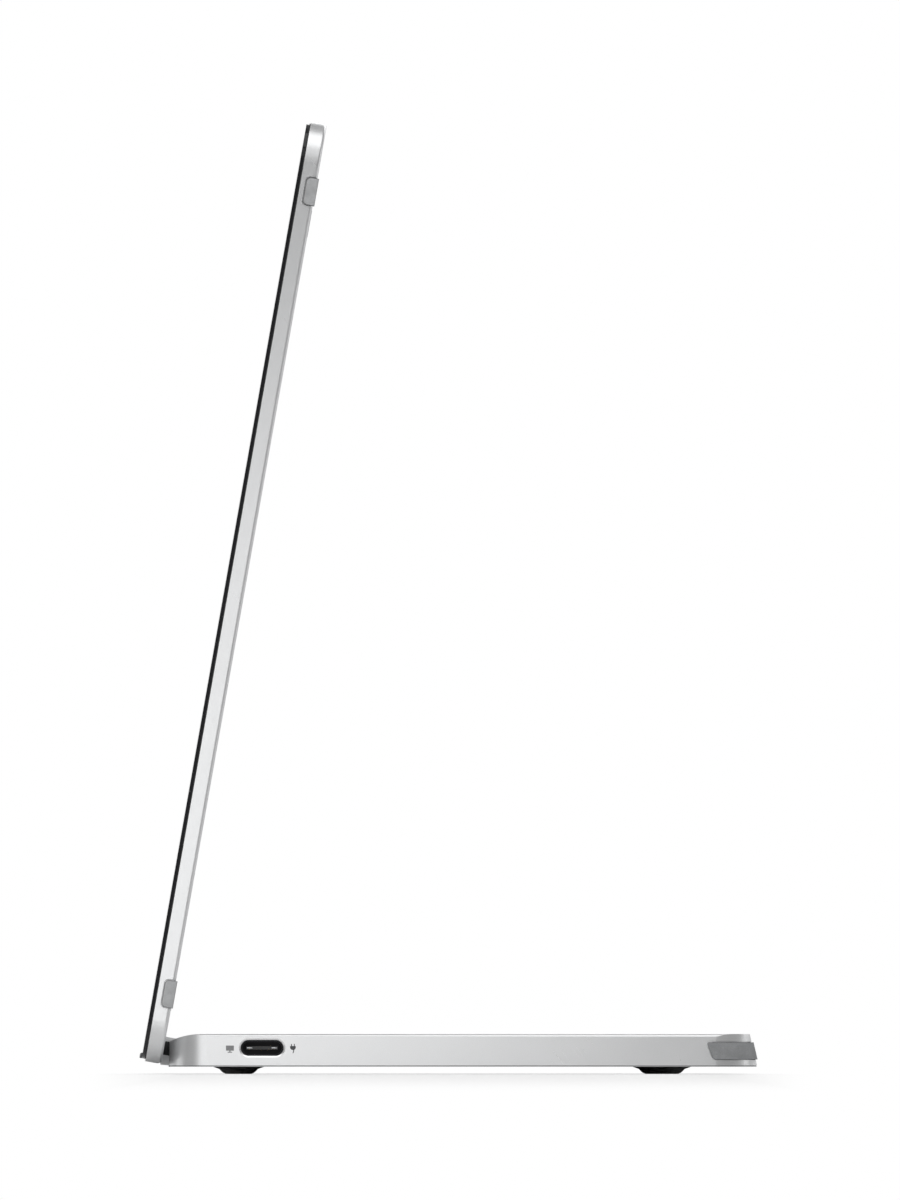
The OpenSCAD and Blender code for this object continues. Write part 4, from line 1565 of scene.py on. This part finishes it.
@dataclass(frozen=True)
class Softbox:
    """Rectangular area lamp aimed at a point."""

    name: str
    place: Triple
    aim: Triple
    size: Pair
    radiance: float

    def build(self) -> None:
        """Hangs the lamp."""
        lamp = bpy.data.lights.new(self.name, "AREA")
        lamp.shape = "RECTANGLE"
        lamp.size, lamp.size_y = self.size
        lamp.energy = self.radiance * math.pi * self.size[0] * self.size[1]
        hung = bpy.data.objects.new(self.name, lamp)
        hung.location = self.place
        way = Vector(self.aim) - Vector(self.place)
        hung.rotation_euler = way.to_track_quat("-Z", "Y").to_euler()
        hung.visible_camera = False
        bpy.context.scene.collection.objects.link(hung)


@dataclass
class Studio:
    """Pale floor, white surround, lamps and camera.

    The photograph is mapped by its scale, in pixels to the millimetre, and by the pixel where the
    middle of the footprint meets the ground.
    """

    near: float = 161 * MM
    scale: float = 4.67
    picture: Pair = (900.0, 1200.0)
    ground_pixel: Pair = (449.2, 1074.0)
    lens: float = 1200.0
    sensor: float = 36.0
    eye: Pair = mm(-70, 1.5)
    sight: Pair = (0.05, 50.0)
    floor_turn: float = 161.6 * MM
    floor_fall: float = math.radians(8)
    floor_reach: float = 4.0
    floor_pale: float = 0.7
    floor_grain: float = 5 * MM
    floor_seen: float = 0.9
    fade_across: Pair = mm(162, 190)
    fade_along: Pair = mm(56, 78)
    soft_light: float = 0.48
    gloss_light: float = 0.14
    sky_light: float = 0.34
    lamps: tuple[Softbox, ...] = (
        Softbox("top_box", (0.6, 0.0, 1.5), HEART, (2.4, 1.25), 1.4),
        Softbox("back_box", (-1.9, 0.2, 1.1), HEART, (2.4, 0.7), 1.5),
        Softbox("fill_box", (1.25, 0.0, 0.75), HEART, (1.6, 0.6), 0.72),
        Softbox("front_box", (0.51, -0.105, 0.05), (0.16, -0.105, 0.05), (0.27, 0.2), 1.35),
        Softbox("left_box", (-0.05, -1.5, 0.4), HEART, (0.6, 0.9), 1.6),
        Softbox("rear_box", (0.1, 1.4, 0.3), (0.1, 0.05, 0.05), (0.5, 0.6), 1.6),
    )

    @staticmethod
    def seen(recipe: Recipe) -> Wire:
        """Mask of what the eye sees directly or through glass."""
        return recipe.rays("Is Camera Ray").math("MAXIMUM", recipe.rays("Is Transmission Ray"))

    def floor(self) -> None:
        """Lays the floor, which falls gently away towards the camera."""
        shape = Shape()
        bmesh.ops.create_grid(shape.bm, x_segments=2, y_segments=2, size=self.floor_reach)
        shape.split((self.floor_turn, 0, 0), (1, 0, 0))
        fall = math.tan(self.floor_fall)
        for vertex in shape.bm.verts:
            vertex.co.z = -max(0.0, vertex.co.x - self.floor_turn) * fall
        mesh = bpy.data.meshes.new("floor")
        shape.bm.to_mesh(mesh)
        shape.bm.free()
        mesh.materials.append(self.floor_paint())
        made = bpy.data.objects.new("floor", mesh)
        bpy.context.scene.collection.objects.link(made)

    def floor_paint(self) -> bpy.types.Material:
        """Mixes pale paint round the object with white glow further out.

        Returns:
            The material.
        """
        material = bpy.data.materials.new("floor_pale")
        material.use_nodes = True
        recipe = Recipe(material.node_tree)
        seen = self.seen(recipe)
        grain = recipe.noise(self.floor_grain)
        pale = recipe.blend(grain, grey(self.floor_pale - 0.01), grey(self.floor_pale + 0.01))
        pale = recipe.blend(seen, pale, grey(self.floor_seen))
        paint = recipe.node("ShaderNodeBsdfDiffuse", {}, {"Color": pale})
        glow = recipe.node("ShaderNodeEmission", {}, {"Color": grey(1.0), "Strength": 1.0})
        across, along, _ = recipe.axes(recipe.place())
        beside, beyond = abs(across).step(*self.fade_across), abs(along).step(*self.fade_along)
        far = seen * beside.math("MAXIMUM", beyond)
        mixed = recipe.node("ShaderNodeMixShader", {}, {0: far, 1: paint, 2: glow})
        recipe.close("ShaderNodeOutputMaterial", mixed)
        return material

    def world(self) -> None:
        """Makes the surround: white to the eye, softer where it lights the object."""
        world = bpy.data.worlds.new("studio")
        bpy.context.scene.world = world
        world.use_nodes = True
        recipe = Recipe(world.node_tree)
        glossy = recipe.rays("Is Glossy Ray")
        way = recipe.node("ShaderNodeTexCoord", {}, {}, "Generated")
        ahead, _, up = recipe.axes(way)
        behind = (ahead * -1).step(0.3, 0.75) * (1 - up.step(0.35, 0.6))
        mirrored = recipe.blend(up.spread(), grey(self.gloss_light), grey(self.sky_light))
        mirrored = recipe.blend(behind, mirrored, grey(1.0))
        colour = recipe.blend(glossy, grey(self.soft_light), mirrored)
        colour = recipe.blend(self.seen(recipe), colour, grey(1.0))
        back = recipe.node("ShaderNodeBackground", {}, {"Color": colour, "Strength": 1.0})
        recipe.close("ShaderNodeOutputWorld", back)

    def camera(self) -> None:
        """Sets the camera to the photograph's view of the right side."""
        data = bpy.data.cameras.new("camera")
        data.lens, data.sensor_width, data.sensor_fit = self.lens, self.sensor, "AUTO"
        data.clip_start, data.clip_end = self.sight
        data.dof.use_dof = False
        eye = bpy.data.objects.new("camera", data)
        width, height = self.picture
        distance = self.lens / self.sensor * height / self.scale * MM
        eye.location = (self.near + distance, *self.eye)
        along = (width / 2 - self.ground_pixel[0]) / self.scale * MM
        up = (self.ground_pixel[1] - height / 2) / self.scale * MM
        way = Vector((self.near, along, up)) - eye.location
        eye.rotation_euler = way.to_track_quat("-Z", "Y").to_euler()
        bpy.context.scene.collection.objects.link(eye)
        bpy.context.scene.camera = eye

    def build(self) -> None:
        """Sets up the whole studio."""
        self.floor()
        self.world()
        for lamp in self.lamps:
            lamp.build()
        self.camera()
        bpy.context.scene.view_settings.view_transform = "Standard"


def main() -> None:
    """Builds and dresses every sub-assembly, then the studio."""
    logging.basicConfig(level=logging.INFO, format="%(name)s: %(message)s")
    display = Display()
    display.dress()
    display.build()
    display.hinge.dress()
    for part in (Base(), Port(Side.LEFT), Port(Side.RIGHT), Controls()):
        part.dress()
        part.build()
    Studio().build()


if __name__ == "__main__":
    main()
